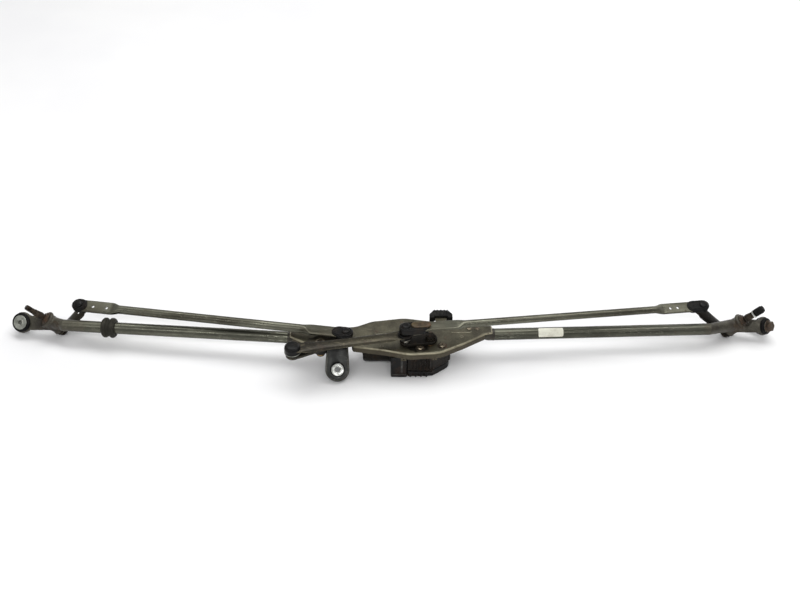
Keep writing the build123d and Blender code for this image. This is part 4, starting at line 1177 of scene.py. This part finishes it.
def screw_seats():
    """Thin rings round the motor screws, placed by the screws' own points."""
    places = []
    for vert in nodes["motor_screws"].data.vertices:
        flat = Vector((vert.co.x, vert.co.y, plate_top))
        for group in places:
            if (group[0] - flat).length < 10 * MM:
                group.append(flat)
                break
        else:
            places.append([flat])
    parts = []
    for group in places:
        box = [(min(getattr(p, a) for p in group) + max(getattr(p, a) for p in group)) / 2 for a in "xy"]
        centre = Vector((*box, plate_top))
        parts.append(turned(centre, UP, [(6.1, -0.3), (8.4, -0.3), (8.0, 0.45), (6.1, 0.6)], 0.15, 40, True))
    piece("screw_washers", "root", washer_steel, joined(*parts), sharp=40)


strap_steel = aged_metal(
    "strap_steel", (0.060, 0.052, 0.030), (0.016, 0.013, 0.008), (0.34, 0.30, 0.19), rust_share=0.18,
    metallic=0.6, gloss=0.3, stretch=(0.15, 1, 1), grain=0.2, rust=(0.030, 0.018, 0.008),
    grease_and_shade_at=[rocker_front_ball, crank_low_ball], grease_and_shade_reach=(8, 14), edge=1.0,
)
washer_steel = aged_metal(
    "washer_steel", (0.050, 0.040, 0.030), (0.015, 0.012, 0.009), (0.22, 0.18, 0.12), rust_share=0.35,
    metallic=0.6, gloss=0.36, grain=0.2, edge=0.8,
)
# Lighter than the bracket's steel: a painted highlight on the bracket's rim bead.
rim_steel = aged_metal(
    "rim_steel", (0.13, 0.13, 0.115), (0.035, 0.033, 0.028), (0.42, 0.42, 0.36), rust_share=0.05,
    gloss=0.3, grain=0.1, edge=0.0,
)
sticker = moulded("sticker", (0.80, 0.79, 0.68), (0.62, 0.60, 0.50), 0.45, brown=0.1)
# Lighter than the connector's black plastic: a painted highlight on its moulded line and latch rib.
seam_plastic = moulded("seam_plastic", (0.018, 0.018, 0.017), (0.10, 0.095, 0.085), 0.3, coat=0.4, brown=0.1)

tube_axes = {name: tube_ends(f"{name}_frame_tube") for name in ("left", "right")}
tube_dir = {name: (ends[1] - ends[0]).normalized() for name, ends in tube_axes.items()}
tube_mid = {name: (ends[1] + ends[0]) / 2 for name, ends in tube_axes.items()}
spindle_top = heights("left_spindle", left.foot, left.axis)[1]
barrel_top = heights("left_spindle_bushes", left.foot, left.axis)[1]

link_rod(left, left_link_steel, 7.5, 23.5, 60, 58, (26, 51), ())
link_rod(right, right_link_steel, 6.35, 20.5, 72, 86, (46, 59), ((48, 7), (54, 7), (60, 7), (72, 6)))
socket_blocks(left, 22.5, 15, 24, 4.6)
socket_blocks(right, 19.5, 29, 40, 7.4)
amber_strip()
short_link()
lever(left, brown_steel)
lever(right, black_steel)
lever_nub()
for end in (left, right):
    spindle(end, spindle_top)
    washers(end, barrel_top)
tip_cap()
mount_places = (
    ("left", "left_mount", left.mount, left.mount_axis),
    ("right", "right_mount", right.mount, right.mount_axis),
    ("centre", "centre", centre_mount, centre_mount_axis),
)
grommet_sizes = ((16.8, 11, -3.5, 3.5, 5, 3), (14.5, 10, -3.5, 3.5, 5, 2), (12.4, 9, -2.4, 0, 4, 1))
for (name, node, *place), sizes in zip(mount_places, grommet_sizes):
    grommet(f"{name}_ribbed_grommet", f"{node}_grommet", *place, *sizes)
sleeve_sizes = (
    (12.6, -9.5, 8.6, dull_plate, -0.9), (10, -9.5, 8.6, dull_plate), (10.7, -7.5, 4.1, bright_plate),
)
for (name, node, *place), sizes in zip(mount_places, sleeve_sizes):
    sleeve(f"{name}_flanged_sleeve", f"{node}_sleeve", *place, *sizes)
bolt_head()
housing(left, 17.5)
housing(right, 15.5)
spigot("left", 1)
spigot("right", 0)
cast_piece("isolator_moulding", "rear_isolator", rubber, (), 0.8, 3, 0.08)
collar()
label()
crimps()
gear_case()
cover()
connector_lip()
can_trim()
plate_details()
screw_seats()
tab_rim()
soften((
    "centre_mount_bracket", "crank_arm", "crank_nut", "rocker_lever", "motor_connector", "rocker_circlip",
), 0.5)


# ================================================================ floor, light and camera
def studio():
    mesh = bpy.data.meshes.new("floor")
    reach = 12
    corners = [(-reach, -reach, 0), (reach, -reach, 0), (reach, reach, 0), (-reach, reach, 0)]
    mesh.from_pydata(corners, [], [(0, 1, 2, 3)])
    floor = bpy.data.objects.new("floor", mesh)
    scene.collection.objects.link(floor)
    paper = Shader("paper")
    tone = paper.mix(paper.range(paper.noise(2.5, 3), 0.3, 0.7), (0.86, 0.86, 0.87), (0.90, 0.90, 0.90))
    paper.set(Base_Color=tone, Roughness=0.75, Specular_IOR_Level=0.1)
    mesh.materials.append(paper.material)
    floor.location.z = cad_low.z - 0.0002

    world = bpy.data.worlds.new("studio")
    world.use_nodes = True
    world.node_tree.nodes["Background"].inputs["Color"].default_value = (1, 1, 1, 1)
    world.node_tree.nodes["Background"].inputs["Strength"].default_value = 0.46
    scene.world = world

    def softbox(name, place, size, power):
        light = bpy.data.lights.new(name, "AREA")
        light.shape = "RECTANGLE"
        light.size, light.size_y = size
        light.energy = power
        lamp = bpy.data.objects.new(name, light)
        lamp.location = place
        lamp.rotation_euler = (-Vector(place)).to_track_quat("-Z", "Y").to_euler()
        scene.collection.objects.link(lamp)

    softbox("overhead", (0.3, 0.6, 2.6), (3.6, 1.3), 56)
    softbox("front_strip", (-0.3, -1.9, 2.2), (3.2, 0.3), 26)
    softbox("rear_right", (1.8, 2.2, 1.4), (1.8, 0.8), 12)


def camera():
    """The main view: 42 degrees above the bench, straight from the front."""
    elevation = radians(42)
    distance = 1.911
    target = Vector((0.013, -0.011, 0.040))
    back = Vector((0, -cos(elevation), sin(elevation)))
    data = bpy.data.cameras.new("camera")
    data.lens = 50
    data.sensor_width = 36
    data.shift_y = 0.054
    seen_from = bpy.data.objects.new("camera", data)
    seen_from.location = target + back * distance
    seen_from.rotation_euler = (-back).to_track_quat("-Z", "Y").to_euler()
    scene.collection.objects.link(seen_from)
    scene.camera = seen_from


scene.view_settings.view_transform = "Standard"
studio()
camera()
